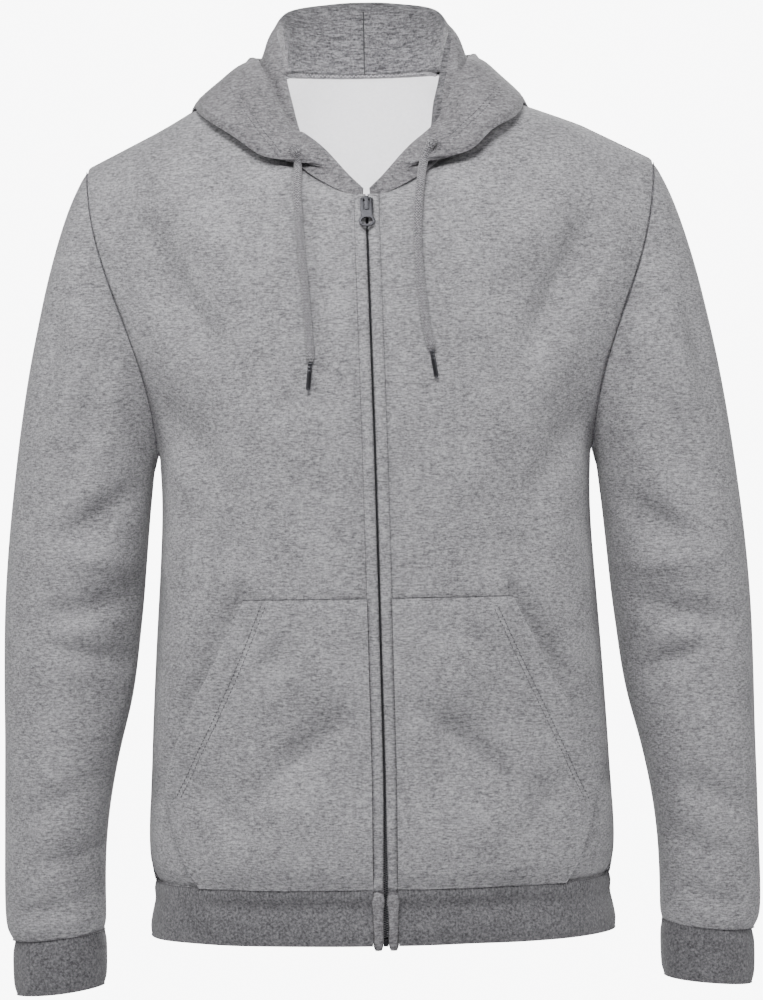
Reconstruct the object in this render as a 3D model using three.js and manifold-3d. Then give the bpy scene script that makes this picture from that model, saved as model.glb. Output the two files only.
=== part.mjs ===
// A zip up hoodie, filled out as if worn. Millimetres, +Z up, front faces -Y, +X to the
// viewer's right. The origin is the middle of the neck, level with the shoulder necks.
// Every cloth piece is a grid of points on its outer face, closed into a true wall.
import * as THREE from "three";
import { mergeVertices } from "three/addons/utils/BufferGeometryUtils.js";
import Module from "manifold-3d";

const wasm = await Module();
wasm.setup();

// Sizes
const CLOTH = 2.0; // brushed fleece wall
const RIB = 2.4; // rib wall
const GAP = 0.3; // between sewn pieces
const ZIP_EDGE = 9.9; // front panel's edge at the zip, from the middle
const SEAM_Z = -647; // seam between body and hem rib
const HEM_Z = -689;
const ARM = { z: -195, rise: 118, top: 226, low: 172, depth: 54, bow: 6 }; // armhole loop

// Helpers
const V = (x, y, z) => new THREE.Vector3(x, y, z);
const lerp = (a, b, t) => a + (b - a) * t;
const clamp = (x, a, b) => Math.min(b, Math.max(a, x));
const steps = (n, a = 0, b = 1) =>
  Array.from({ length: n + 1 }, (_, i) => lerp(a, b, i / n));

// A table with named columns; at(key) gives every column smoothly between its rows.
function table(names, rows) {
  const key = rows.map((r) => r[0]);
  const slope = (i, c) => {
    const a = Math.max(0, i - 1),
      b = Math.min(rows.length - 1, i + 1);
    return (rows[b][c] - rows[a][c]) / (key[b] - key[a]);
  };
  return (x) => {
    let i = 0;
    while (i < rows.length - 2 && x > key[i + 1]) i++;
    const w = key[i + 1] - key[i],
      t = clamp((x - key[i]) / w, 0, 1),
      out = {};
    names.forEach((n, c) => {
      const p = rows[i][c],
        q = rows[i + 1][c],
        m = slope(i, c) * w,
        k = slope(i + 1, c) * w;
      out[n] =
        (2 * t ** 3 - 3 * t ** 2 + 1) * p + (t ** 3 - 2 * t ** 2 + t) * m +
        (3 * t ** 2 - 2 * t ** 3) * q + (t ** 3 - t ** 2) * k;
    });
    return out;
  };
}

// Unit normals of a grid of points, rows[i][j]; ring joins the last column to the first.
function normals(rows, ring = false) {
  const n = rows.length,
    m = rows[0].length;
  const J = (j) => (ring ? (j + m) % m : clamp(j, 0, m - 1));
  return rows.map((row, i) =>
    row.map((_, j) => {
      const u = row[J(j + 1)].clone().sub(row[J(j - 1)]);
      const v = rows[Math.min(n - 1, i + 1)][j].clone().sub(rows[Math.max(0, i - 1)][j]);
      return u.cross(v).normalize();
    }),
  );
}

// Closes a grid into a wall between two offsets along its normals (out is positive).
function wall(rows, outer, inner, { ring = false, flip = false, norm = null } = {}) {
  const n = rows.length,
    m = rows[0].length,
    N = norm || normals(rows, ring).map((r) => r.map((v) => (flip ? v.negate() : v))),
    pos = [],
    idx = [];
  for (const off of [outer, inner])
    rows.forEach((row, i) =>
      row.forEach((p, j) => pos.push(...p.clone().addScaledVector(N[i][j], off).toArray())),
    );
  const at = (layer, i, j) => layer * n * m + i * m + (ring ? j % m : j);
  const quad = (a, b, c, d) =>
    flip ? idx.push(a, c, b, a, d, c) : idx.push(a, b, c, a, c, d);
  const cols = ring ? m : m - 1;
  for (let i = 0; i < n - 1; i++)
    for (let j = 0; j < cols; j++) {
      quad(at(0, i, j), at(0, i, j + 1), at(0, i + 1, j + 1), at(0, i + 1, j));
      quad(at(1, i, j), at(1, i + 1, j), at(1, i + 1, j + 1), at(1, i, j + 1));
    }
  for (let j = 0; j < cols; j++) {
    quad(at(0, 0, j), at(1, 0, j), at(1, 0, j + 1), at(0, 0, j + 1));
    quad(at(0, n - 1, j), at(0, n - 1, j + 1), at(1, n - 1, j + 1), at(1, n - 1, j));
  }
  if (!ring)
    for (let i = 0; i < n - 1; i++) {
      quad(at(0, i, 0), at(0, i + 1, 0), at(1, i + 1, 0), at(1, i, 0));
      quad(at(0, i, m - 1), at(1, i, m - 1), at(1, i + 1, m - 1), at(0, i + 1, m - 1));
    }
  const g = new THREE.BufferGeometry();
  g.setAttribute("position", new THREE.Float32BufferAttribute(pos, 3));
  g.setIndex(idx);
  return g;
}

// The finishes, by the name of the material.
const finish = (name, color, roughness, metalness = 0) => {
  const material = new THREE.MeshStandardMaterial({ color, roughness, metalness });
  material.name = name;
  return material;
};
const FINISH = {
  shell: finish("grey melange fleece", 0x8f9092, 0.95),
  lining: finish("grey melange fleece, inner face", 0x85868a, 0.95),
  rib: finish("grey melange rib", 0x77787b, 0.95),
  tape: finish("woven zip tape", 0x3a3b3e, 0.9),
  teeth: finish("blackened metal teeth", 0x2c2c2e, 0.4, 1),
  slider: finish("antique nickel", 0x6a6a6c, 0.35, 1),
  cord: finish("knitted cord", 0x8a8b8d, 0.95),
  tip: finish("nickel tip", 0x6c6c6e, 0.3, 1),
};

const root = new THREE.Group();
const mirrored = (rows) => rows.map((r) => r.map((p) => V(-p.x, p.y, p.z)));
const add = (name, material, geometry) => {
  const mesh = new THREE.Mesh(geometry, material.clone());
  mesh.name = name;
  root.add(mesh);
};
// A wall and its mirror image; rows are those of the +X side.
function pair(name, material, rows, outer, inner, opts = {}) {
  add(name + "_right", material, wall(rows, outer, inner, opts));
  const norm = opts.norm && mirrored(opts.norm);
  const other = { ...opts, norm, flip: !opts.flip };
  add(name + "_left", material, wall(mirrored(rows), outer, inner, other));
}

// The body
// Half width at the side seams, and depth of the front and back, by height.
const TORSO = table(["z", "half", "front", "back"], [
  [-690, 183.5, 118, 112],
  [-670, 184.5, 120.5, 114.5],
  [-652, 182, 119, 113],
  [-647, 182, 119, 113],
  [-622, 186.5, 123.5, 117],
  [-580, 184.6, 121, 113],
  [-520, 181.4, 119, 106],
  [-460, 178, 119, 103],
  [-400, 173.5, 120, 105],
  [-350, 170.5, 122, 110],
  [-313, 172, 123, 115],
  [-250, 172, 121, 120],
  [-200, 172, 116, 121],
  [-150, 172, 107.5, 119],
  [-113, 172, 96, 113],
]);
// Neck seam from the zip (0) round to the shoulder neck (0.4), then the shoulder seam.
const FRONT_TOP = table(["u", "x", "y", "z"], [
  [0, ZIP_EDGE, -91.5, -109],
  [0.07, 22, -89, -106.5],
  [0.17, 49, -76, -90],
  [0.25, 65, -57, -68],
  [0.33, 75, -32, -38],
  [0.42, 81, 0, -4.5],
  [0.55, 112, 0, -20],
  [1, ARM.top, 0, -77],
]);
const NECK_U = 0.42; // where the neck seam ends on the tops of both panels
const BACK_TOP = table(["u", "x", "y", "z"], [
  [0, 0, 63, 0],
  [0.15, 30, 60, 0],
  [0.27, 56, 46, -0.5],
  [0.36, 75, 22, -2.5],
  [0.42, 81, 0, -4.5],
  [0.55, 112, 0, -20],
  [1, ARM.top, 0, -77],
]);
const ARMPIT_Z = ARM.z - ARM.rise;
const ROWS_Z = [SEAM_Z + 1.3, -632, -612, -575, -520, -460, -400, -350, ARMPIT_Z]; // below the armpit
const CHEST = 0.4; // armhole place, 0 top to 1 armpit, where the yoke starts
const YOKE_Z = -122; // the yoke's start at the middle of the panel
const BOXY = 2.3; // 2 is an ellipse, more is squarer

// A point of the armhole loop: t 0 at the shoulder, 1 in the armpit; side -1 front, 1 back.
function armhole(t, side) {
  const c = Math.cos(Math.PI * t),
    s = Math.sin(Math.PI * t),
    f = (1 - c) / 2;
  return V(
    lerp(ARM.top, ARM.low, f) + ARM.bow * Math.sin(2 * Math.PI * f),
    side * ARM.depth * s, ARM.z + ARM.rise * c,
  );
}
// The direction away from the loop's middle, shared by body and sleeve at their seam.
function loopNormal(t, side) {
  const tilt = V(ARM.top - ARM.low, 0, 2 * ARM.rise).normalize();
  return tilt.multiplyScalar(Math.cos(Math.PI * t) * ARM.depth)
    .add(V(0, side * Math.sin(Math.PI * t) * ARM.rise, 0)).normalize();
}
// One row of a panel from its edge E to its side end S; full is 1 where it wraps the side.
function rowPoint(u, E, S, full, boxy = BOXY) {
  const A = (Math.PI / 2) * full,
    p = 2 / boxy,
    sx = Math.sin(A * u) ** p / Math.sin(A) ** p,
    c1 = Math.max(0, Math.cos(A)) ** p,
    cy = (Math.max(0, Math.cos(A * u)) ** p - c1) / (1 - c1);
  return V(lerp(E.x, S.x, sx), lerp(S.y, E.y, cy), lerp(E.z, S.z, sx ** 1.6));
}
const SIDE = {
  front: { sign: -1, edge: ZIP_EDGE, top: FRONT_TOP },
  back: { sign: 1, edge: 0, top: BACK_TOP },
};

// v 0..1 from the hem seam to the armpit, 1..2 to the chest row, 2..3 over the yoke.
function bodyPoint(which, u, v) {
  const { sign, edge, top } = SIDE[which];
  const depth = (z) => sign * TORSO(z)[which];
  const chestRow = (w) => {
    const t = lerp(1, CHEST, w),
      zE = lerp(ARMPIT_Z, YOKE_Z, w),
      S = armhole(t, sign);
    return rowPoint(u, V(edge, depth(zE), zE), S, lerp(1, 0.66, w ** 0.6), lerp(BOXY, 2.05, w));
  };
  if (v <= 1) {
    const z = lerp(ROWS_Z[0], ARMPIT_Z, v);
    return rowPoint(u, V(edge, depth(z), z), V(TORSO(z).half, 0, z), 1);
  }
  if (v <= 2) return chestRow(v - 1);
  const w = v - 2,
    C = chestRow(1),
    T = top(u),
    q = (Math.PI / 2) * lerp(which === "front" ? 0.35 : 0.7, 1, clamp(u / 0.6, 0, 1) ** 1.5),
    rise = Math.sin(q * w) / Math.sin(q),
    over = (Math.cos(q * w) - Math.cos(q)) / (1 - Math.cos(q));
  const p = V(lerp(C.x, T.x, w), lerp(T.y, C.y, over), lerp(C.z, T.z, rise));
  const want = armhole(lerp(CHEST, 0, w), sign),
    Ce = armhole(CHEST, sign),
    Te = top(1),
    is = V(lerp(Ce.x, Te.x, w), lerp(Te.y, Ce.y, over), lerp(Ce.z, Te.z, rise));
  return p.addScaledVector(want.sub(is), u ** 3);
}

// Soft folds pressed into the body: middle, direction of the run, length, width, depth.
const BODY_FOLDS = [
  { at: [135, -225], run: [-0.5, -1], long: 70, wide: 16, deep: 3.5 },
  { at: [118, -560], run: [0.9, -1], long: 60, wide: 14, deep: 2.5 },
  { at: [60, -590], run: [1, -0.75], long: 55, wide: 14, deep: 2.5 },
];
function foldDepth(x, z) {
  return BODY_FOLDS.reduce((sum, { at, run, long, wide, deep }) => {
    const l = Math.hypot(...run),
      dx = Math.abs(x) - at[0],
      dz = z - at[1],
      along = (dx * run[0] + dz * run[1]) / l,
      across = (dx * run[1] - dz * run[0]) / l;
    return sum + deep * Math.exp(-((along / long) ** 2) - (across / wide) ** 2);
  }, 0);
}
const BODY_V = [
  ...ROWS_Z.map((z) => (z - ROWS_Z[0]) / (ARMPIT_Z - ROWS_Z[0])),
  ...steps(5, 1, 2).slice(1),
  ...steps(4, 2, 3).slice(1),
];
const COLUMNS = 12;

function panelRows(which) {
  const rows = BODY_V.map((v) => steps(COLUMNS).map((u) => bodyPoint(which, u, v)));
  const N = normals(rows);
  rows.forEach((row, i) =>
    row.forEach((p, j) => {
      if (which === "front" && j < COLUMNS) p.addScaledVector(N[i][j], -foldDepth(p.x, p.z));
    }),
  );
  return rows;
}
const front = panelRows("front");
const back = panelRows("back");
// The panels stop short of the side and shoulder seams by half a gap, and share the
// armhole's direction there so that their ends meet the sleeve's squarely.
function seamed(which, rows) {
  const { sign } = SIDE[which];
  const outwards = which === "back" ? -1 : 1;
  const N = normals(rows).map((r) => r.map((n) => n.multiplyScalar(outwards)));
  const last = rows.length - 1;
  rows.forEach((row, i) => {
    const v = BODY_V[i],
      p = row[COLUMNS];
    if (v <= 1) {
      N[i][COLUMNS].set(1, 0, 0);
      p.y += sign * GAP * 0.5;
    } else {
      const t = v <= 2 ? lerp(1, CHEST, v - 1) : lerp(CHEST, 0, v - 2);
      N[i][COLUMNS].copy(loopNormal(t, sign));
      if (t === 0 || t === 1) p.y += sign * GAP * 0.5;
    }
  });
  rows[last].forEach((p, j) => {
    if (p.x < 80 || j === COLUMNS) return;
    p.y = sign * GAP * 0.5;
    N[last][j].y = 0;
    N[last][j].normalize();
  });
  return N;
}
const frontN = seamed("front", front);
const backN = seamed("back", back);
pair("front", FINISH.shell, front, 0, -CLOTH, { norm: frontN });
{
  const across = (rows) =>
    rows.map((r) => [...[...r].reverse(), ...mirrored([r.slice(1)])[0]]);
  const norm = across(backN);
  norm.forEach((r) => (r[COLUMNS].x = 0));
  add("back", FINISH.shell, wall(across(back), 0, -CLOTH, { norm }));
}

// Lifts a point until it lies at least `clear` outside the nearest place of the panels.
const faceOf = (rows, N) => rows.flatMap((r, i) => r.map((p, j) => ({ p, n: N[i][j] })));
const SKIN = [
  ...faceOf(front, frontN),
  ...faceOf(mirrored(front), mirrored(frontN)),
  ...faceOf(back, backN),
  ...faceOf(mirrored(back), mirrored(backN)),
];
function restOn(point, clear, skin = SKIN, exactly = false) {
  const far = (q) => q.p.distanceToSquared(point);
  const near = [...skin].sort((a, b) => far(a) - far(b)).slice(0, 5);
  const n = V(0, 0, 0);
  let height = 0;
  let sum = 0;
  for (const q of near) {
    const w = 1 / (far(q) + 16);
    height += w * point.clone().sub(q.p).dot(q.n);
    n.addScaledVector(q.n, w);
    sum += w;
  }
  n.normalize();
  if (exactly || height / sum < clear) point.addScaledVector(n, clear - height / sum);
  return n;
}
// The place on the front panel at x and z, seen from the front, moved out by `out`.
const FACE = faceOf(front, frontN).filter((q) => q.n.y < -0.45);
function onFront(x, z, out) {
  const ax = Math.abs(x);
  const flat = (q) => (q.p.x - ax) ** 2 + (q.p.z - z) ** 2;
  const near = [...FACE].sort((a, b) => flat(a) - flat(b)).slice(0, 4);
  let y = 0;
  let sum = 0;
  const n = V(0, 0, 0);
  for (const q of near) {
    const w = 1 / (flat(q) + 4);
    y += w * (q.p.y - ((ax - q.p.x) * q.n.x + (z - q.p.z) * q.n.z) / q.n.y);
    n.addScaledVector(q.n, w);
    sum += w;
  }
  n.normalize();
  const p = V(ax, y / sum, z).addScaledVector(n, out);
  return x < 0 ? V(-p.x, p.y, p.z) : p;
}

// Zip: welts, teeth, tapes, slider, bottom box, pull tab
const slit = (z) => lerp(1.2, 2.2, clamp((-z - 560) / 100, 0, 1)); // half the gap between the welts
const face = (z) => -TORSO(z).front; // y of the front at the zip
const ZIP_TOP = -110;
const WELT = 2.2; // a folded strip
const TEETH = { low: -683.4, high: -126.5, wide: 2.7, thick: 0.9, behind: 2.1 };
const TAPE = { low: -687, high: -116, wide: 14, thick: 1, behind: 3.3 };
const zipZ = [
  HEM_Z - 1, -670, -655, ...ROWS_Z, ...steps(3, -274.8, -160.2), -138, -124, ZIP_TOP - 1,
];
pair("welt", FINISH.shell, zipZ.map((z) => [
  V(slit(z), face(z) - 0.5, z),
  V((slit(z) + 9.3) / 2, face(z) - 0.9, z),
  V(ZIP_EDGE - GAP, face(z) - 0.5, z),
]), 0, -WELT);
pair("zip_teeth", FINISH.teeth, [TEETH.low, ...zipZ.slice(1, -2), TEETH.high].map((z) => [
  V(GAP / 2, face(z) + TEETH.behind, z),
  V(TEETH.wide, face(z) + TEETH.behind, z),
]), 0, -TEETH.thick);
pair("zip_tape", FINISH.tape, [TAPE.low, ...zipZ.slice(1, -1), TAPE.high].map((z) => [
  V(1.3, face(z) + TAPE.behind, z),
  V(TAPE.wide, face(z) + TAPE.behind + 0.8, z),
]), 0, -TAPE.thick);

// A closed geometry as a solid that can be joined and cut, and back again.
function toSolid(geometry) {
  geometry.deleteAttribute("normal");
  geometry.deleteAttribute("uv");
  const merged = mergeVertices(geometry, 1e-4);
  return new wasm.Manifold(new wasm.Mesh({
    numProp: 3,
    vertProperties: merged.attributes.position.array,
    triVerts: new Uint32Array(merged.index.array),
  }));
}
function fromSolid(solid) {
  const made = solid.getMesh();
  const g = new THREE.BufferGeometry();
  g.setAttribute("position", new THREE.BufferAttribute(new Float32Array(made.vertProperties), 3));
  g.setIndex([...made.triVerts]);
  return g;
}
const block = (w, d, h, x, y, z) => toSolid(new THREE.BoxGeometry(w, d, h).translate(x, y, z));
// A plate that stands in the XZ plane with its middle at y.
function plate(shape, thick, y) {
  const g = new THREE.ExtrudeGeometry(shape, { depth: thick, bevelEnabled: false, curveSegments: 6 });
  return toSolid(g.translate(0, 0, -thick / 2).rotateX(Math.PI / 2).translate(0, y, 0));
}
function roundedRect(w, h, r, y = 0) {
  const s = new THREE.Shape();
  s.absarc(w / 2 - r, y + h / 2 - r, r, 0, Math.PI / 2);
  s.absarc(-w / 2 + r, y + h / 2 - r, r, Math.PI / 2, Math.PI);
  s.absarc(-w / 2 + r, y - h / 2 + r, r, Math.PI, 1.5 * Math.PI);
  s.absarc(w / 2 - r, y - h / 2 + r, r, 1.5 * Math.PI, 2 * Math.PI);
  return s;
}
function ellipse(a, b, y) {
  const s = new THREE.Shape();
  s.absellipse(0, y, a, b, 0, 2 * Math.PI, false, 0);
  return s;
}
// Pieces joined into one solid, less what is cut out of it.
const joined = (pieces, cuts = []) =>
  cuts.reduce((a, b) => a.subtract(b), pieces.reduce((a, b) => a.add(b)));

// The slider and the tab are made upright about the face's point at SLIDE, then lean with it.
const SLIDE = V(0, face(-118), -118);
const LEAN = Math.atan2(face(-132) - face(-112), 20);
const leaning = (solid, at = V(0, 0, 0)) =>
  fromSolid(solid).translate(...at.toArray()).rotateX(LEAN).translate(...SLIDE.toArray());
const PLATE = { front: -2.2, rear: 5.6, thick: 1.4 };
const BRIDGE = { top: 5.4, foot: -4.6, wide: 3, bar: -5.3 };
add("zip_slider", FINISH.slider, leaning(joined([
  plate(roundedRect(8.4, 12, 1.5), PLATE.thick, PLATE.front),
  plate(roundedRect(8, 11, 1.5), PLATE.thick - 0.2, PLATE.rear),
  block(1.8, 8, 5, 0, 1.7, 2), // diamond between the two rows of teeth
  block(BRIDGE.wide, 2.4, 1.2, 0, -3.9, BRIDGE.top),
  block(BRIDGE.wide, 2.4, 1.2, 0, -3.9, BRIDGE.foot),
  block(BRIDGE.wide, 1, BRIDGE.top - BRIDGE.foot + 1.2, 0, BRIDGE.bar, (BRIDGE.top + BRIDGE.foot) / 2),
])));
add("zip_box", FINISH.slider, new THREE.BoxGeometry(3.8, 3.2, 5.4).translate(0, face(-687) + 1.3, -686.6));

// Pull tab: two arms beside the slider's bridge, a ring below, and a pin under the bridge.
// It is hinged about the line along X through HINGE, and nothing of it reaches above the pin.
const HINGE = V(0, -4, 3.9);
const TAB = { thick: 1.8, middle: -1.2, half: 4.9, waist: 3.3, ring: -18.5 };
{
  const { thick, middle, half, waist, ring } = TAB;
  const right = [[half, -0.15], [half, -10.7], [waist, -17.1]].map(([x, z]) => new THREE.Vector2(x, z));
  const left = right.map((p) => new THREE.Vector2(-p.x, p.y)).reverse();
  const deep = 2 * thick;
  const round = (r, long, x) =>
    toSolid(new THREE.CylinderGeometry(r, r, long, 12).rotateZ(Math.PI / 2).translate(x, 0, 0));
  const arms = [-3.3, 3.3].flatMap((x) => [round(0.75, 2.6, x), block(1.4, 1, 1.6, x, -0.55, -0.6)]);
  const flat = joined(
    [
      plate(new THREE.Shape([...left, ...right]), thick, middle),
      plate(ellipse(6.6, 4.8, ring), thick, middle),
    ],
    [block(5.4, deep, 11.4, 0, middle, -4), plate(ellipse(4.5, 2.9, ring), deep, middle)],
  );
  add("pull_tab", FINISH.slider, leaning(joined([flat, ...arms, round(0.5, 7.6, 0)]), HINGE));
}

// Hem rib
{
  const rows = [HEM_Z, -674, -658, SEAM_Z - 0.5].map((z) => {
    const { half: wide, front: fore, back: aft } = TORSO(z);
    const side = V(wide, 0, z);
    const half = steps(COLUMNS).map((u) => rowPoint(u, V(ZIP_EDGE, -fore, z), side, 1));
    const rear = steps(COLUMNS).map((u) => rowPoint(u, V(0, aft, z), side, 1));
    const right = [...half, ...rear.reverse().slice(1)];
    return [...right, ...mirrored([right])[0].reverse().slice(1)];
  });
  add("hem_rib", FINISH.rib, wall(rows, 0, -RIB));
}

// Pockets
// Outer edge of the pocket by height: its slanted mouth, then the sewn side below it.
const POCKET = table(["z", "edge", "open"], [
  [SEAM_Z + 2, 143, 0],
  [-620, 155.5, 0],
  [-597, 163.5, 0],
  [-584, 165.5, 0.8],
  [-560, 162, 4],
  [-527, 149, 6],
  [-495, 134.5, 6],
  [-458, 117.5, 4],
  [-421, 101.5, 0.6],
]);
const POCKET_TOP = -421;
const POCKET_LIFT = 1.3; // between the front panel and the pocket's inner face
pair("pocket", FINISH.shell, steps(11, SEAM_Z + 2, POCKET_TOP).map((z) => {
  const { edge, open } = POCKET(z);
  return steps(8).map((u) => {
    const gape = Math.max(0, open) * clamp((u - 0.45) / 0.55, 0, 1) ** 1.5;
    return onFront(lerp(ZIP_EDGE + GAP, edge, u), z, POCKET_LIFT + CLOTH + gape);
  });
}), 0, -CLOTH);

// Sleeves and cuffs
// Rings from the armhole to the cuff: the outermost and innermost place, depth, shift in y.
const SLEEVE = table(["k", "ox", "oz", "ix", "iz", "depth", "shift"], [
  [0, 226, -77, 172, -313, 54, 0],
  [1, 240.5, -104, 176.2, -321, 58, 0],
  [2, 256, -150, 177.5, -334, 62, 0],
  [3, 268, -200, 179.5, -352, 64, 0],
  [4, 279.5, -255, 181.5, -375, 65, 0],
  [5, 290, -330, 184.5, -408, 64, 0],
  [6, 298, -410, 188, -450, 62, -1],
  [7, 300, -480, 195, -497, 60, -3],
  [8, 300, -530, 206, -538, 57, -5],
  [9, 300.5, -580, 215, -584, 53, -8],
  [10, 301.3, -633, 220, -629, 49, -10],
  [11, 302, -673, 219.5, -667, 45, -12],
  [12, 296.5, -691, 220.5, -684, 40, -12],
]);
// Creases that run across the inside of the elbow and above the cuff.
const SLEEVE_FOLDS = [
  { at: 5.6, turn: 110, wide: 0.4, reach: 50, deep: 3.5, slant: 0.6 },
  { at: 7.2, turn: 100, wide: 0.4, reach: 45, deep: 3.5, slant: -0.7 },
  { at: 6.6, turn: 255, wide: 0.4, reach: 55, deep: 4, slant: 0.5 },
  { at: 8.4, turn: 250, wide: 0.4, reach: 50, deep: 4, slant: -0.6 },
  { at: 10.9, turn: 90, wide: 0.3, reach: 60, deep: 2.5, slant: 0.2 },
];
const ARM_AXIS = V(0.976, 0, -0.219); // square to the armhole loop
function sleevePoint(k, turn) {
  const a = (turn * Math.PI) / 180,
    r = SLEEVE(k),
    c = Math.cos(a),
    s = Math.sin(a),
    f = (1 - c) / 2;
  const p = V(lerp(r.ox, r.ix, f), r.shift - r.depth * s, lerp(r.oz, r.iz, f));
  p.x += ARM.bow * Math.sin(2 * Math.PI * f) * clamp(1 - k / 4, 0, 1);
  return p;
}
const SLEEVE_K = [
  0, 0.5, 1, 1.6, 2.3, 3, 3.8, 4.6, 5.4, 6, 6.6, 7.2, 7.8, 8.4, 9.1, 9.8, 10.5, 11.2, 11.7, 12,
];
const AROUND = 20; // points around a sleeve or cuff
const turns = steps(AROUND, 0, 360).slice(0, AROUND);
const sleeve = SLEEVE_K.map((k) => turns.map((turn) => sleevePoint(k, turn)));
{
  const N = normals(sleeve, true);
  sleeve.forEach((row, i) => row.forEach((p, j) => {
    const turn = turns[j];
    const deep = SLEEVE_FOLDS.reduce((sum, f) => {
      const d = ((turn - f.turn + 540) % 360) - 180,
        kk = SLEEVE_K[i] - f.at - (f.slant * d) / 90;
      return sum + f.deep * Math.exp(-((kk / f.wide) ** 2) - (d / f.reach) ** 2);
    }, 0);
    if (i > 0) p.addScaledVector(N[i][j], -deep);
  }));
  // The first ring faces the body's end, the last the cuff's.
  sleeve[0].forEach((p, j) => {
    const t = (2 * j) / AROUND;
    N[0][j].copy(t <= 1 ? loopNormal(t, -1) : loopNormal(2 - t, 1));
    p.addScaledVector(ARM_AXIS, 0.8);
  });
  N.at(-1).forEach((n) => n.setZ(0).normalize());
  pair("sleeve", FINISH.shell, sleeve, 0, -CLOTH, { ring: true, norm: N });
}
const CUFF = table(["z", "half", "depth"], [
  [-731, 36.5, 36.5],
  [-726, 37.6, 38],
  [-710, 38.4, 39.5],
  [-696, 38.2, 40],
  [-688.2, 37.4, 39.6],
]);
const CUFF_AT = { x: 257.8, y: -12, tilt: 3.5 };
pair("cuff", FINISH.rib, [-731, -725, -702, -688.2].map((z) => {
  const r = CUFF(z);
  return turns.map((turn) => {
    const c = Math.cos((turn * Math.PI) / 180);
    const s = Math.sin((turn * Math.PI) / 180);
    return V(CUFF_AT.x + r.half * c, CUFF_AT.y - r.depth * s, z - CUFF_AT.tilt * c);
  });
}), 0, -RIB, { ring: true, flip: true });

// Hood
// Stations from the middle of the back (0) to the zip (1). N is the neck seam, way the
// direction outwards in degrees from +X towards +Y; then (out, up) pairs of the section:
// stand, fold, over the fold, two on the inner pouch wall, bottom, two outer, the edge.
const HOOD = table(
  [
    "s", "way", "o1", "u1", "o2", "u2", "o3", "u3", "o4", "u4", "o5", "u5", "o6", "u6",
    "low", "high", "o9", "u9",
  ],
  [
    [0, 90, 3, 32, 14, 57, 29, 46, 44, -40, 58, -150, 76, -226, 28, 42, 66, 18],
    [0.1, 76, 3, 31, 14, 54, 28, 44, 44, -36, 58, -144, 77, -216, 26, 40, 62, 18],
    [0.2, 60, 3, 28, 13, 49, 27, 38, 42, -28, 60, -124, 80, -190, 24, 34, 55, 17],
    [0.3, 36, 0, 21, 4, 37, 15, 30, 27, -8, 52, -62, 70, -118, 17, 24, 34, 15],
    [0.4, 8, -3, 14, -4, 25, 5, 20, 11, 3, 32, -8, 55, -24, 9, 12, 13, 12],
    [0.5, -15, -5, 12, -8, 22, 0, 19, 6, 5, 26, -4, 49, -20, 9, 11, 11, 14],
    [0.6, -36, -5, 11, -9, 20, -3, 20, 4, 10, 18, 2, 37, -14, 9, 9, 4, 18],
    [0.7, -50, -3, 8, -8, 17, -5, 20, 0, 16, 8, 8, 22, -6, 9, 8, -4, 22],
    [0.84, -66, -1, 2.5, -2, 5, -3, 7.5, -4, 10, -5, 12.5, -6.2, 15, 0, 0, -11, 27],
    [0.9, -78, -0.4, 1.6, -0.8, 3.3, -1.2, 4.9, -1.6, 6.5, -2, 8.2, -2.5, 9.8, 0, 0, -4.5, 18],
    [1, -88, 0, 0.5, 0, 1, 0, 1.5, 0, 2, 0, 2.5, 0, 3, 0, 0, 0, 5.4],
  ],
);
const NECK_S = 0.4; // the station at the shoulder seam
// The section at s as a smooth curve, from the neck seam (0) to the opening edge (1).
function hoodSection(s) {
  const h = HOOD(s),
    a = (h.way * Math.PI) / 180,
    N = s < NECK_S ? BACK_TOP((s * NECK_U) / NECK_S) : FRONT_TOP(((1 - s) * NECK_U) / (1 - NECK_S)),
    plain = THREE.MathUtils.smoothstep(s, 0.65, 0.84), // 1 where the hood is a single band
    forward = clamp((s - 0.5) * 3, 0, 1), // the front half stands a little inside the panels
    lift = 0.9 + 1.2 * clamp((s - 0.45) * 5, 0, 1) * clamp((1 - s) * 8, 0, 1),
    meet = Math.max(0, s - 0.9) * 70, // the two ends meet at the zip
    at = (o, u) => V(N.x - meet + o * Math.cos(a), N.y + forward + o * Math.sin(a), N.z + lift + u);
  const pts = [at(0, 0)];
  for (const k of [1, 2, 3, 4, 5, 6]) pts.push(at(h["o" + k], h["u" + k]));
  const edge = at(h.o9, h.u9),
    low = pts.pop();
  if (plain < 1) for (const k of [4, 5]) restOn(pts[k], (1 - plain) * 3.2);
  const up = restOn(low.clone(), 0),
    back = pts[5].clone().sub(low).setLength(4.5);
  restOn(low, (1 - plain) * 3.2);
  // Inner side of the bottom fold, the fold, its outer side, two on the outer wall, edge.
  [
    [low.clone().add(back), 0.3, 0.16],
    [low, 3.6, 0.33],
    [low.clone().add(back), 8.2, 0.5],
    [pts[5], h.low, 0.67],
    [pts[4].clone().lerp(pts[5], 0.45), h.high, 0.83],
  ].forEach(([from, out, share]) => {
    const band = low.clone().lerp(edge, share);
    pts.push(from.clone().addScaledVector(up, out).lerp(band, plain));
  });
  pts.push(edge);
  return new THREE.CatmullRomCurve3(pts, false, "centripetal");
}
const HOOD_S = [...steps(5, 0, 0.3), ...steps(12, 0.3, 0.84).slice(1), 0.9, 0.95, 1];
const PLY = { outer: 1.8, inner: 0.25 }; // each ply's faces, from the surface between the two
const HOOD_FACE = []; // the hood's outer cloth, for what hangs over it
const HOOD_T = [0, 1, 1.6, 2, 2.5, 3, 3.7, 4.4, 5, 5.6, 6.2, 7, 7.8, 9, 10, 11];
const sections = HOOD_S.map(hoodSection);
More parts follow.
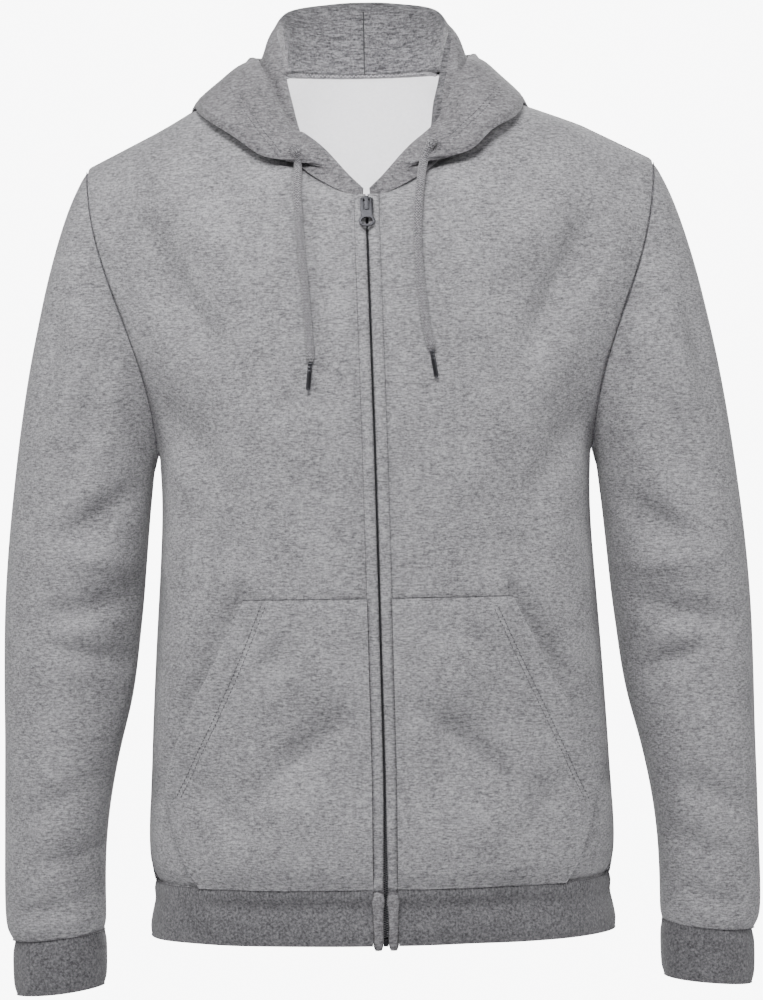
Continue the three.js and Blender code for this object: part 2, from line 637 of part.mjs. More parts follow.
const hood = HOOD_T.map((t) => sections.map((c, i) => {
  const p = c.getPoint(t / 11);
  if (t > 3.8 && HOOD_S[i] < 0.72) restOn(p, t > 7.7 ? 10 : t > 6 ? 5.8 : 4.4);
  return p;
}));
hood.forEach((row) => (row[0].x = GAP / 2)); // centre seam
// The fold dies out softly on its way to the zip.
for (let pass = 0; pass < 2; pass++)
  hood.slice(1).forEach((row) => {
    const old = row.map((p) => p.clone());
    row.forEach((p, j) => {
      if (HOOD_S[j] <= 0.68 || HOOD_S[j] >= 0.97) return;
      p.multiplyScalar(2).add(old[j - 1]).add(old[j + 1]).multiplyScalar(0.25);
    });
  });
{
  const raw = normals(hood).map((r) => r.map((n) => n.negate()));
  // Evened along the seam, so that the shell and its lining never cross in the folds.
  const N = raw.map((r) => r.map((n, j) => {
    const sides = r[Math.max(0, j - 1)].clone().add(r[Math.min(r.length - 1, j + 1)]);
    return n.clone().multiplyScalar(2).add(sides).normalize();
  }));
  N.forEach((r) => r[0].setX(0).normalize());
  HOOD_FACE.push(...hood.flatMap((r, i) => r.flatMap((p, j) =>
    HOOD_T[i] > 7.5 || HOOD_S[j] > 0.8 ? [{ p, n: N[i][j] }] : [])));
  pair("hood", FINISH.shell, hood, PLY.outer, PLY.inner, { norm: N, flip: true });
  pair("hood_lining", FINISH.lining, hood, -PLY.inner, -PLY.outer, { norm: N, flip: true });
}

// Drawstring ends
// Where each free end hangs, from its eyelet down to the metal tip.
const STRINGS = {
  right: {
    path: [[52, -70], [44, -84], [40.2, -112], [38, -140], [38, -165], [41.2, -205], [45.5, -232]],
    tip: [48.6, -253],
  },
  left: {
    path: [[-56, -73.5], [-55.5, -88], [-54.3, -112], [-52, -150], [-50, -180], [-48, -212], [-47, -240]],
    tip: [-49.6, -261],
  },
};
const STRING_R = 3.3;
for (const [side, { path, tip }] of Object.entries(STRINGS)) {
  const pts = path.map(([x, z], i) => {
    const p = onFront(Math.abs(x), z, STRING_R + 1.2);
    if (i < 3) for (let pass = 0; pass < 4; pass++) restOn(p, STRING_R + 3.9, HOOD_FACE);
    return p;
  });
  // It leaves the eyelet square to the hood's cloth, then turns down.
  const eyelet = pts[0].clone(),
    out = restOn(eyelet, PLY.outer + 0.45, HOOD_FACE, true);
  pts.splice(0, 1, eyelet, eyelet.clone().addScaledVector(out, 4.6).add(V(0, 0, -1)));
  if (path[0][0] < 0) pts.forEach((p) => (p.x = -p.x));
  // Drawn in at the eyelet and where the metal tip grips it.
  const cord = tube(pts, 22, 8, (t) => STRING_R * (t > 0.97 ? 0.62 : t < 0.02 ? 0.72 : 1));
  add("drawstring_" + side, FINISH.cord, cord);
  const end = pts.at(-1);
  const low = onFront(...tip, 3.4);
  const start = end.clone().addScaledVector(low.clone().sub(end).normalize(), 0.28);
  const ferrule = tube([start, low], 4, 10, (t) => (t > 0.99 ? 1.1 : 1.8));
  add("aglet_" + side, FINISH.tip, ferrule);
}
// A closed round tube along a smooth path; radius gives its size at a share of the length.
function tube(points, along, around, radius) {
  const curve = new THREE.CatmullRomCurve3(points),
    frames = curve.computeFrenetFrames(along, false),
    pos = [],
    idx = [];
  for (let i = 0; i <= along; i++) {
    const c = curve.getPointAt(i / along);
    for (let j = 0; j < around; j++) {
      const a = (j / around) * 2 * Math.PI,
        r = radius(i / along);
      pos.push(...c.clone().addScaledVector(frames.normals[i], r * Math.cos(a))
        .addScaledVector(frames.binormals[i], r * Math.sin(a)).toArray());
    }
  }
  for (let i = 0; i < along; i++)
    for (let j = 0; j < around; j++) {
      const a = i * around + j,
        b = i * around + ((j + 1) % around);
      idx.push(a, b, b + around, a, b + around, a + around);
    }
  const ends = pos.length / 3;
  pos.push(...curve.getPointAt(0).toArray(), ...curve.getPointAt(1).toArray());
  for (let j = 0; j < around; j++) {
    const k = (j + 1) % around;
    idx.push(ends, k, j, ends + 1, along * around + j, along * around + k);
  }
  const g = new THREE.BufferGeometry();
  g.setAttribute("position", new THREE.Float32BufferAttribute(pos, 3));
  g.setIndex(idx);
  return g;
}

export default root;
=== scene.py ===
# %% [markdown]
# # A zip up hoodie in grey melange fleece
# The hoodie is filled out as if worn. Its pieces come ready cut and placed in the frame: this
# lesson gives them real cloth, folds, stitches, a zip with teeth and two drawstring ends.
# Lengths below are in millimetres and become metres where Blender needs them.

# %% Load the frame
import math

import bmesh
import bpy
import numpy as np
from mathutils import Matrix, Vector
from mathutils.bvhtree import BVHTree
from mathutils.kdtree import KDTree


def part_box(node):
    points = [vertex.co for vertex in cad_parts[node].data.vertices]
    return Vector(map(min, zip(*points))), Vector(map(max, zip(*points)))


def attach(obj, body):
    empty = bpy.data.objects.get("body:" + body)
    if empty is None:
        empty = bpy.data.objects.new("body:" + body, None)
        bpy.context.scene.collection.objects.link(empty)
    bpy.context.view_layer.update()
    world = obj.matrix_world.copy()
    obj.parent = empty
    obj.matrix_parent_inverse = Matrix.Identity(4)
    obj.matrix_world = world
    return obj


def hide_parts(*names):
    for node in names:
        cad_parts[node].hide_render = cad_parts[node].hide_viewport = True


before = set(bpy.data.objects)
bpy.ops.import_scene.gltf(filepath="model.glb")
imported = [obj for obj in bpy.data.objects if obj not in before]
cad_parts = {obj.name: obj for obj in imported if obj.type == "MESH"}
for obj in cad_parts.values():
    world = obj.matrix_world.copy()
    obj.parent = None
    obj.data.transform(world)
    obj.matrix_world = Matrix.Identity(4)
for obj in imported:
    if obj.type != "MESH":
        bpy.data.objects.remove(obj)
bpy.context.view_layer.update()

MM = 0.001

# %% [markdown]
# ## The camera
# The photograph is taken level from about three metres with a long lens, so both sides of the
# garment stay in view and nothing bulges. The camera is rolled by one degree, because the
# garment hangs that much askew in the picture.

# %% Place the camera
DISTANCE = 3000
MIDDLE = (4.4, -346)  # the point of the garment at the middle of the picture, X and Z
LENS = 135
ROLL = 1.0  # degrees
camera = bpy.data.objects.new("camera", bpy.data.cameras.new("camera"))
bpy.context.scene.collection.objects.link(camera)
camera.data.lens = LENS
camera.data.sensor_width = 36
camera.data.clip_end = 50
camera.location = (MIDDLE[0] * MM, -DISTANCE * MM, MIDDLE[1] * MM)
camera.rotation_euler = (math.radians(90), math.radians(ROLL), 0)
bpy.context.scene.camera = camera
print("camera at", tuple(round(c, 3) for c in camera.location))

# %% [markdown]
# ## Shared tools
# Every piece needs the same few steps: link it, find the cloth under a place, draw a tube
# along a line. They are written once here.

# %% Small helpers
def linked(name, mesh):
    """A new object at the origin that shows this mesh."""
    piece = bpy.data.objects.new(name, mesh)
    bpy.context.scene.collection.objects.link(piece)
    return piece


def only(piece):
    """Select this piece alone and make it the active one."""
    bpy.ops.object.select_all(action="DESELECT")
    piece.select_set(True)
    bpy.context.view_layer.objects.active = piece
    return piece


def surface_of(objects):
    """One search tree over the faces of several objects."""
    points, faces = [], []
    for o in objects:
        start = len(points)
        points += [v.co.copy() for v in o.data.vertices]
        faces += [[start + i for i in p.vertices] for p in o.data.polygons]
    return BVHTree.FromPolygons(points, faces)


def seen_at(tree, x, z, side=-1):
    """The place and normal of the cloth at X and Z in mm, seen from the front (-1) or back (1)."""
    origin = Vector((x * MM, side * 0.5, z * MM))
    place, normal, _, _ = tree.ray_cast(origin, Vector((0, -side, 0)))
    if normal.y * side < 0:
        normal.negate()
    return place, normal


def bell(away, width):
    """One at a place, and close to nothing two widths away from it."""
    return np.exp(-(away / width) ** 2)


def coords(mesh):
    """The points of a mesh as rows of X, Y, Z."""
    out = np.empty(len(mesh.vertices) * 3, np.float32)
    mesh.vertices.foreach_get("co", out)
    return out.reshape(-1, 3).astype(float)


def set_coords(mesh, points):
    """Move the points of a mesh to these rows of X, Y, Z."""
    mesh.vertices.foreach_set("co", np.asarray(points, np.float32).ravel())
    mesh.update()


# %% A smooth line through points, and a tube along it
def smooth_line(points, count):
    """Evenly spaced points on a smooth curve through the given ones."""
    p = [Vector(q) for q in points]
    p = [2 * p[0] - p[1], *p, 2 * p[-1] - p[-2]]
    dense = []
    for a, b, c, d in zip(p, p[1:], p[2:], p[3:]):
        for k in range(24):
            t = k / 24
            dense.append(0.5 * (2 * b + (c - a) * t + (2 * a - 5 * b + 4 * c - d) * t ** 2
                                + (3 * b - a - 3 * c + d) * t ** 3))
    dense.append(p[-2])
    far = np.concatenate([[0], np.cumsum([(v - u).length for u, v in zip(dense, dense[1:])])])
    at = np.linspace(0, far[-1], count)
    rows = np.array([list(v) for v in dense])
    return [Vector(q) for q in np.stack([np.interp(at, far, rows[:, k]) for k in range(3)], 1)]


FORWARD = Vector((0, -1, 0))


def tube(name, line, radius, around=12, flat=1.0):
    """A closed tube along a line; radius is a number or a function of the share of its length."""
    size = radius if callable(radius) else (lambda t: radius)
    n = len(line)
    verts, uvs = [], []
    run = 0.0
    for i, c in enumerate(line):
        tangent = (line[min(i + 1, n - 1)] - line[max(i - 1, 0)]).normalized()
        out = (FORWARD - tangent * FORWARD.dot(tangent)).normalized()
        side = tangent.cross(out)
        run += (c - line[i - 1]).length if i else 0
        for j in range(around):
            a = 2 * math.pi * j / around
            verts.append(c + size(i / (n - 1)) * (side * math.cos(a) + out * math.sin(a) * flat))
        uvs.append(run)
    faces = [(i * around + j, i * around + (j + 1) % around, (i + 1) * around + (j + 1) % around,
              (i + 1) * around + j) for i in range(n - 1) for j in range(around)]
    faces += [tuple(reversed(range(around))), tuple(range((n - 1) * around, n * around))]
    mesh = bpy.data.meshes.new(name)
    mesh.from_pydata(verts, [], faces)
    layer = mesh.uv_layers.new(name="along")
    for f in mesh.polygons:
        for k, v in zip(f.loop_indices, f.vertices):
            j = v % around
            if len(f.vertices) == 4 and j == 0 and any(w % around == around - 1 for w in f.vertices):
                j = around
            layer.data[k].uv = (uvs[v // around], j / around)
    mesh.shade_smooth()
    piece = linked(name, mesh)
    only(piece)
    bpy.ops.object.mode_set(mode="EDIT")
    bpy.ops.mesh.select_all(action="SELECT")
    bpy.ops.mesh.normals_make_consistent(inside=False)
    bpy.ops.object.mode_set(mode="OBJECT")
    return piece


# %% [markdown]
# ## The drawstring ends
# A knitted cord runs in the hood's casing and each end leaves through a stitched eyelet. It
# drops over the edge of the hood and hangs straight on the chest, with a metal tip that keeps
# it from fraying. The picture shows each end whole, so its length is what shows. A tube along
# a smooth line is right for a cord: the line rests on the cloth, one cord radius above it.

# %% Hang the two cords
CORD_R = 3.3
OFF_CLOTH = {"start": 0.45, "bend": 4.9, "rest": 1.3, "tip": 3.4}  # from the cloth to the cord's line
TIP_GAP = 0.28  # between the cord's end and its metal tip
STRINGS = {
    "right": {
        "path": [(52, -70), (44, -84), (40.2, -112), (38, -140), (38, -165), (41.2, -205), (45.5, -232)],
        "tip": (48.6, -253),
    },
    "left": {
        "path": [(-56, -73.5), (-55.5, -88), (-54.3, -112), (-52, -150), (-50, -180), (-48, -212),
                 (-47, -240)],
        "tip": (-49.6, -261),
    },
}
under_cords = ("front_right", "front_left", "hood_right", "hood_left")
cloth_under = surface_of([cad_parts[n] for n in under_cords])
cords = {}


def cord_size(share):
    """The cord's radius at a share of its length: it is squeezed in its eyelet and in its tip."""
    return MM * CORD_R * (0.62 if share > 0.985 else 0.72 if share < 0.01 else 1)


for side, route in STRINGS.items():
    start, out = seen_at(cloth_under, *route["path"][0])
    line = [start + out * OFF_CLOTH["start"] * MM, start + out * OFF_CLOTH["bend"] * MM - Vector((0, 0, MM))]
    for x, z in route["path"][1:]:
        place, out = seen_at(cloth_under, x, z)
        line.append(place + out * (CORD_R + OFF_CLOTH["rest"]) * MM)
    low, out = seen_at(cloth_under, *route["tip"])
    low = low + out * OFF_CLOTH["tip"] * MM
    aim = (low - line[-1]).normalized()
    path = smooth_line(line, 110)
    length = sum((b - a).length for a, b in zip(path, path[1:]))
    cord = tube("cord_" + side, path, cord_size, 16)
    tip_line = [line[-1] + aim * TIP_GAP * MM, low]
    cords[side] = {"cord": cord, "path": path, "length": length, "tip": tip_line}
    print("cord", side, round(length / MM), "mm")

# %% [markdown]
# ## Materials
# The cloth is a cotton and polyester fleece, knitted from a yarn that mixes pale and dark
# fibres. So its grey is never even: short pale and dark dashes lie along the knitted rows.
# One colour ramp over stretched noise gives those dashes, and finer noise gives the fibres.

# %% Colours, and one helper that adds a node
def linear(code):
    """A linear colour from an sRGB hex value such as "8f9092"."""
    out = []
    for i in (0, 2, 4):
        c = int(code[i:i + 2], 16) / 255
        out.append(c / 12.92 if c <= 0.04045 else ((c + 0.055) / 1.055) ** 2.4)
    return (*out, 1.0)


def add_node(tree, kind, inputs=None, **settings):
    """A node with its settings; each input is a value or another node's output."""
    made = tree.nodes.new(kind)
    for key, value in settings.items():
        setattr(made, key, value)
    for key, value in (inputs or {}).items():
        if isinstance(value, bpy.types.NodeSocket):
            tree.links.new(value, made.inputs[key])
        else:
            made.inputs[key].default_value = value
    return made


def new_material(name, **surface):
    """A material with one shader, whose constant values are set on its own sockets."""
    material = bpy.data.materials.new(name)
    material.use_nodes = True
    tree = material.node_tree
    shader = tree.nodes["Principled BSDF"]
    for key, value in surface.items():
        shader.inputs[key.replace("_", " ")].default_value = value
    return material, tree, shader


def ramp(tree, factor, stops):
    """A colour ramp with (place, hex colour) stops over a factor."""
    made = add_node(tree, "ShaderNodeValToRGB", {"Fac": factor})
    elements = made.color_ramp.elements
    while len(elements) < len(stops):
        elements.new(0.5)
    for element, (place, code) in zip(elements, stops):
        element.position = place
        element.color = linear(code)
    return made.outputs["Color"]


# %% The knitted cloths
def knit(name, dark, middle, pale, dash=(4.2, 1.15), contrast=1.0, fuzz=0.35, sheen=0.2, rib=None):
    """Melange knit: dash is the size in mm of a fibre dash, along and across the rows.
    rib, where given, is an attribute that counts the ribs around the piece; then the sunk ribs
    are painted darker as shade, most of all where they are gathered below the seam."""
    material, tree, shader = new_material(name, Roughness=0.92, Sheen_Weight=sheen, Sheen_Roughness=0.5,
                                          Specular_IOR_Level=0.25)
    place = add_node(tree, "ShaderNodeTexCoord").outputs["Object"]
    long, tall = (1 / (d * MM) for d in dash)
    rows = add_node(tree, "ShaderNodeMapping", {"Vector": place,
                                                "Scale": (long, long, tall)}).outputs["Vector"]
    dashes = add_node(tree, "ShaderNodeTexNoise", {"Vector": rows, "Scale": 1.0, "Detail": 3.0,
                                                   "Roughness": 0.62}).outputs["Fac"]
    fibre = add_node(tree, "ShaderNodeTexNoise", {"Vector": place, "Scale": 1 / (1.7 * MM), "Detail": 3.0,
                                                  "Roughness": 0.8}).outputs["Fac"]
    cloud = add_node(tree, "ShaderNodeTexNoise", {"Vector": place, "Scale": 1 / (26 * MM), "Detail": 3.0,
                                                  "Roughness": 0.6}).outputs["Fac"]
    mixed = add_node(tree, "ShaderNodeMath", {0: dashes, 1: 0.48}, operation="MULTIPLY").outputs[0]
    mixed = add_node(tree, "ShaderNodeMath", {0: fibre, 1: 0.41, 2: mixed},
                     operation="MULTIPLY_ADD").outputs[0]
    mixed = add_node(tree, "ShaderNodeMath", {0: cloud, 1: 0.11, 2: mixed},
                     operation="MULTIPLY_ADD").outputs[0]
    low, high = 0.5 - 0.115 / contrast, 0.5 + 0.115 / contrast
    colour = ramp(tree, mixed, [(low, dark), (0.5, middle), (high, pale)])
    height = add_node(tree, "ShaderNodeMath", {0: fibre, 1: 0.7, 2: dashes},
                      operation="MULTIPLY_ADD").outputs[0]
    if rib:
        count = add_node(tree, "ShaderNodeAttribute", attribute_name=rib).outputs["Fac"]
        turn = add_node(tree, "ShaderNodeMath", {0: count, 1: 2 * math.pi}, operation="MULTIPLY").outputs[0]
        wave = add_node(tree, "ShaderNodeMath", {0: turn}, operation="SINE").outputs[0]
        gather = add_node(tree, "ShaderNodeAttribute", attribute_name="near_seam").outputs["Fac"]
        strength = add_node(tree, "ShaderNodeMath", {0: gather, 1: 1.1, 2: 0.12},
                            operation="MULTIPLY_ADD").outputs[0]
        wave = add_node(tree, "ShaderNodeMath", {0: wave, 1: strength}, operation="MULTIPLY").outputs[0]
        height = add_node(tree, "ShaderNodeMath", {0: wave, 1: 0.8, 2: height},
                          operation="MULTIPLY_ADD").outputs[0]
        # Painted shade: the colour goes darker where a rib sinks, more so where the ribs are gathered below
        # the seam.
        shade = add_node(tree, "ShaderNodeMapRange", {"Value": wave, "From Min": -1.0, "From Max": 0.2,
                                                      "To Min": 0.78, "To Max": 1.0}).outputs["Result"]
        colour = add_node(tree, "ShaderNodeVectorMath", {0: colour, "Scale": shade},
                          operation="SCALE").outputs["Vector"]
    bump = add_node(tree, "ShaderNodeBump", {"Height": height, "Strength": fuzz, "Distance": 0.5 * MM})
    tree.links.new(colour, shader.inputs["Base Color"])
    tree.links.new(bump.outputs["Normal"], shader.inputs["Normal"])
    return material


# Jersey face of a 280 g/m2 fleece: mid grey, soft, with dashes of fibre along the rows.
melange = knit("cotton fleece, grey melange face", "605f62", "8f8e91", "b6b5b8")
# The same cloth coloured darker as painted shade, for the hood, the casing strip and the welt below the hem
# seam.
shaded_face_melange = knit("cotton fleece, grey melange with painted shade", "4d4c4f", "787679", "9c9b9e")
# The same cloth on the hood's inner side, coloured darker as painted shade for where it lies deeper; its
# dashes show more.
shaded_lining_melange = knit("cotton fleece, grey melange hood lining with painted shade", "353437", "5d5c5f", "807f82", dash=(6.5, 1.4),
                  contrast=1.2)
# Brushed back of the fleece: pale and matt, with no knit to be seen.
brushed = knit("cotton fleece, brushed back", "ebeaed", "f1f0f3", "f7f6f9", dash=(3.0, 3.0), contrast=0.7,
               fuzz=0.5, sheen=0.5)
# Ribbed knit of the hem and cuffs: the same yarns, knitted tighter and coloured darker than the face; its
# sunk ribs are darkened further as painted shade.
ribbed = knit("cotton rib, grey melange", "454447", "676669", "868588", dash=(2.2, 1.9), rib="rib_count")
print("cloths:", [m.name for m in bpy.data.materials])

# %% Thread, cord, tape and metal
def plain_material(name, code, roughness, metallic=0.0, grain=0.3, size=0.6, variation=0.12):
    """One colour that varies a little over grain of the given size in mm, with a fine bump."""
    material, tree, shader = new_material(name, Metallic=metallic)
    place = add_node(tree, "ShaderNodeTexCoord").outputs["Object"]
    noise = add_node(tree, "ShaderNodeTexNoise", {"Vector": place, "Scale": 1 / (size * MM),
                                                  "Detail": 3.0}).outputs["Fac"]
    shade = add_node(tree, "ShaderNodeMapRange", {"Value": noise, "From Min": 0.3, "From Max": 0.7,
                                                  "To Min": 1 - variation, "To Max": 1 + variation})
    tint = add_node(tree, "ShaderNodeVectorMath", {0: linear(code)[:3], "Scale": shade.outputs["Result"]},
                    operation="SCALE").outputs["Vector"]
    rough = add_node(tree, "ShaderNodeMapRange", {"Value": noise, "From Min": 0.2, "From Max": 0.8,
                                                  "To Min": roughness - 0.06, "To Max": roughness + 0.06})
    bump = add_node(tree, "ShaderNodeBump", {"Height": noise, "Strength": grain, "Distance": 0.2 * MM})
    tree.links.new(tint, shader.inputs["Base Color"])
    tree.links.new(rough.outputs["Result"], shader.inputs["Roughness"])
    tree.links.new(bump.outputs["Normal"], shader.inputs["Normal"])
    return material


# Spun polyester sewing thread, coloured darker than the cloth as painted shade of its stitch holes, and a
# little darker in its valleys.
thread = plain_material("polyester sewing thread, darkened as painted shade", "5a595c", 0.7, size=0.4)
# A dark line painted as the shadow deep in the hood's centre seam, where no light reaches.
seam_shadow_line = plain_material("painted shadow in the hood's centre seam", "29292b", 0.8, size=0.4)
# Pale overlock thread, in a chain along the neck's inner seam.
pale_thread = plain_material("polyester overlock thread", "a9a8ab", 0.7, size=0.4)
# Herringbone zip tape, dyed dark grey.
tape_cloth = plain_material("woven polyester zip tape", "2f2f32", 0.9, size=0.7, grain=0.6)
# Teeth of aluminium, blackened, so they show as a dark chain with small glints.
tooth_metal = plain_material("blackened aluminium", "6a6a6d", 0.42, metallic=1.0, grain=0.1)
# Slider and tab of die cast zinc, plated in dark antique nickel and slightly brushed.
nickel = plain_material("antique nickel on zinc", "3a3a3d", 0.46, metallic=1.0, grain=0.08, size=1.5)
# Cord tips of rolled brass, plated in dark nickel.
tip_metal = plain_material("dark nickel on brass", "5b5b5f", 0.34, metallic=1.0, grain=0.05)


def knitted_cord():
    """Round knitted cord: stitches run in chevrons around it, on its own UV map in metres."""
    material, tree, shader = new_material("knitted cotton cord", Roughness=0.95, Sheen_Weight=0.3,
                                          Specular_IOR_Level=0.2)
    uv = add_node(tree, "ShaderNodeUVMap", uv_map="along").outputs["UV"]
    split = add_node(tree, "ShaderNodeSeparateXYZ", {"Vector": uv})
    row = 2.2 * MM  # one stitch along the cord
    columns = 10  # stitches around it
    along = add_node(tree, "ShaderNodeMath", {0: split.outputs["X"], 1: 2 * math.pi / row},
                     operation="MULTIPLY").outputs[0]
    around = add_node(tree, "ShaderNodeMath", {0: split.outputs["Y"], 1: 2 * math.pi * columns},
                      operation="MULTIPLY").outputs[0]
    column = add_node(tree, "ShaderNodeMath", {0: around}, operation="COSINE").outputs[0]
    slant = add_node(tree, "ShaderNodeMath", {0: column, 1: 1.6, 2: along},
                     operation="MULTIPLY_ADD").outputs[0]
    stitch = add_node(tree, "ShaderNodeMath", {0: slant}, operation="SINE").outputs[0]
    place = add_node(tree, "ShaderNodeTexCoord").outputs["Object"]
    fibre = add_node(tree, "ShaderNodeTexNoise", {"Vector": place, "Scale": 1 / (1.4 * MM),
                                                  "Detail": 2.0}).outputs["Fac"]
    both = add_node(tree, "ShaderNodeMath", {0: stitch, 1: 0.2, 2: fibre},
                    operation="MULTIPLY_ADD").outputs[0]
    # The colour follows the fibre and also the stitches: darker between stitches, as painted shade.
    colour = ramp(tree, both, [(0.3, "4e4d50"), (0.5, "7b797d"), (0.7, "a09fa2")])
    bump = add_node(tree, "ShaderNodeBump", {"Height": both, "Strength": 0.7, "Distance": 0.8 * MM})
    tree.links.new(colour, shader.inputs["Base Color"])
    tree.links.new(bump.outputs["Normal"], shader.inputs["Normal"])
    return material


cord_cloth = knitted_cord()
print("materials:", len(bpy.data.materials))

# %% [markdown]
# ## Folds
# Fleece is thick and soft, so it bends in wide shallow troughs, with few sharp creases. They
# start where the cloth is pulled or pushed: under the arm, across the elbow, above the cuff.
# Each fold here is a line on the cloth, pushed in or out along one direction. The same push
# moves every piece at that place, so panels, pockets, stitches and cords stay together.

# %% Where the folds run
# Side of the garment, two ends as (X, Z), depth (minus is a ridge) and half width, all in mm.
FOLDS = [
    ("front", (-181, -132), (-128, -222), 8.0, 15),
    ("front", (172, -135), (126, -226), 8.5, 15),
    ("front", (-160, -112), (-96, -168), -4.0, 20),
    ("front", (153, -114), (94, -172), -4.0, 20),
    ("front", (-150, -220), (-104, -286), -3.0, 18),
    ("front", (150, -226), (100, -296), -3.0, 18),
    ("front", (-160, -278), (-112, -345), 4.5, 18),
    ("front", (160, -286), (118, -352), 5.0, 18),
    ("front", (-148, -352), (-96, -392), 2.5, 16),
    ("front", (146, -364), (92, -398), 2.5, 16),
    ("front", (-28, -512), (-92, -572), 6.0, 13),
    ("front", (36, -510), (108, -576), 6.5, 13),
    ("front", (-66, -468), (-38, -500), -3.0, 18),
    ("front", (72, -470), (48, -504), -3.0, 18),
    ("front", (-52, -580), (-96, -620), -3.0, 18),
    ("front", (58, -584), (104, -622), -3.0, 18),
    ("front", (-62, -448), (-96, -486), 3.5, 12),
    ("front", (66, -446), (96, -480), 3.0, 12),
    ("front", (-100, -612), (-142, -560), 3.5, 12),
    ("front", (96, -614), (140, -566), 3.5, 12),
    ("front", (-213, -235), (-236, -325), 5.0, 15),
    ("front", (220, -245), (244, -325), 5.0, 15),
    ("front", (-248, -180), (-262, -270), 3.0, 14),
    ("front", (250, -186), (266, -272), 3.0, 14),
    ("front", (-196, -340), (-240, -372), 6.0, 12),
    ("front", (-198, -392), (-246, -384), -4.0, 10),
    ("front", (-200, -420), (-262, -436), 5.5, 11),
    ("front", (-204, -470), (-262, -456), 4.5, 10),
    ("front", (200, -352), (246, -384), 6.0, 12),
    ("front", (204, -400), (250, -396), -4.0, 10),
    ("front", (206, -428), (270, -446), 5.5, 11),
    ("front", (208, -482), (262, -466), 4.5, 10),
    ("front", (-222, -560), (-286, -596), 4.0, 12),
    ("front", (224, -566), (288, -592), 4.0, 12),
    ("front", (-226, -618), (-270, -628), 3.0, 9),
    ("front", (228, -612), (272, -630), 3.0, 9),
    ("front", (-230, -655), (-285, -668), 3.0, 8),
    ("front", (232, -650), (282, -672), 3.0, 8),
    ("back", (-176, -150), (-120, -250), 6.0, 18),
    ("back", (174, -156), (118, -262), 6.0, 18),
    ("back", (-110, -420), (-30, -452), 4.0, 18),
    ("back", (120, -410), (20, -446), 4.5, 18),
    ("back", (-70, -520), (66, -506), 3.5, 17),
    ("back", (-130, -590), (-60, -560), 3.0, 15),
    ("back", (136, -584), (50, -566), 3.0, 15),
    ("back", (-205, -420), (-285, -446), 5.5, 12),
    ("back", (206, -412), (288, -440), 5.5, 12),
    ("back", (-210, -480), (-286, -470), 4.0, 11),
    ("back", (208, -474), (284, -468), 4.0, 11),
    ("back", (-232, -650), (-284, -664), 3.0, 9),
    ("back", (232, -648), (284, -668), 3.0, 9),
]


def nodes_of(*kinds):
    """The frame's objects whose node names start with one of these words."""
    return [o for n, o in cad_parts.items() if n.split("_")[0] in kinds]


whole = surface_of(nodes_of("front", "back", "sleeve", "cuff", "hem"))
DEEPER = {"body": 1.5, "arm": 2.0}  # how much deeper the folds are in worn fleece than on a rail
ARM_FROM = 200  # a fold whose lower end is farther out than this is on a sleeve


def fold_lines():
    """The folds as arrays: both ends, the direction pushed, depth and half width in metres."""
    rows = []
    for side, a, b, depth, half in FOLDS:
        sign = -1 if side == "front" else 1
        (p, n), (q, m) = seen_at(whole, *a, sign), seen_at(whole, *b, sign)
        deep = depth * DEEPER["arm" if abs(b[0]) > ARM_FROM else "body"]
        rows.append((np.array(p), np.array(q), np.array((n + m).normalized()), deep * MM, half * MM))
    return rows


FOLD_LINES = fold_lines()

# %% Lines along which the cloth is drawn in
# Each is a line on the cloth as (X, Z) points in mm. Two rows of stitches run beside these.
TWIN_STITCH = {
    "pocket_left": [(-89, -426), (-102, -458), (-118, -494), (-133, -525), (-147, -552), (-158, -575)],
    "pocket_right": [(91, -430), (108, -468), (126, -507), (144, -546), (161, -583)],
    "casing_left": [(-108, -17), (-101, -33), (-89, -52), (-76, -66), (-68, -76)],
    "casing_right": [(116, -22), (98, -41), (80, -54.5), (66, -65)],
}
DRAWN = {"deep": 0.9, "half": 2.4}
# The hood's front edge rolls outward at the neck, which leaves one crease on each side.
HOOD_ROLL = {
    "left": [(-87, -3), (-77, -20), (-66, -38), (-56, -53)],
    "right": [(75, -4), (64, -20), (51, -38), (38, -54)],
}
ROLLED = {"deep": 4.0, "half": 4.5}
outermost = surface_of(nodes_of("front", "pocket", "hood"))


def drawn_lines():
    """Each line as points on the cloth, the direction in which the cloth goes in, depth and width."""
    rows = []
    for lines, size in ((TWIN_STITCH, DRAWN), (HOOD_ROLL, ROLLED)):
        for points in lines.values():
            found = [seen_at(outermost, *p) for p in points]
            push = sum((n for _, n in found), Vector()).normalized()
            line = np.array([list(p) for p, _ in found])
            rows.append((line, np.array(push), size["deep"], size["half"]))
    return rows


DRAWN_LINES = drawn_lines()

# %% How the folds move the cloth
# The zip hangs a little askew: how far the middle of the garment lies to one side, by height.
LEAN = {
    "z": (-700, -560, -420, -300, -140, -20, 90),
    "x": (2.0, 3.0, 1.5, 0.0, -3.0, -3.5, -3.5),
    "half": 90,
}
# The neck has settled narrower on one side: how far the cloth moves out, by its place from the middle.
NECK = {
    "from": (0, 60, 88, 112, 138, 170),
    "right": (0, -3, -5.5, 0, 4, 0),
    "left": (0, -8, -10, -10.5, -11, 0),
}
# Waves of several lengths and heights, in mm, make the cloth a little uneven all over.
WAVES = np.random.default_rng(7)
WAVE_ROWS = [(WAVES.normal(size=3) * (1, 0.6, 1), 2 * math.pi / (MM * w), WAVES.uniform(0, 6.28), a)
             for w, a in ((150, 1.0), (118, 0.8), (92, 0.7), (70, 0.5), (56, 0.35), (44, 0.22))]


def step(x, a, b):
    """A soft step from 0 at a to 1 at b."""
    t = np.clip((x - a) / (b - a), 0, 1)
    return t * t * (3 - 2 * t)


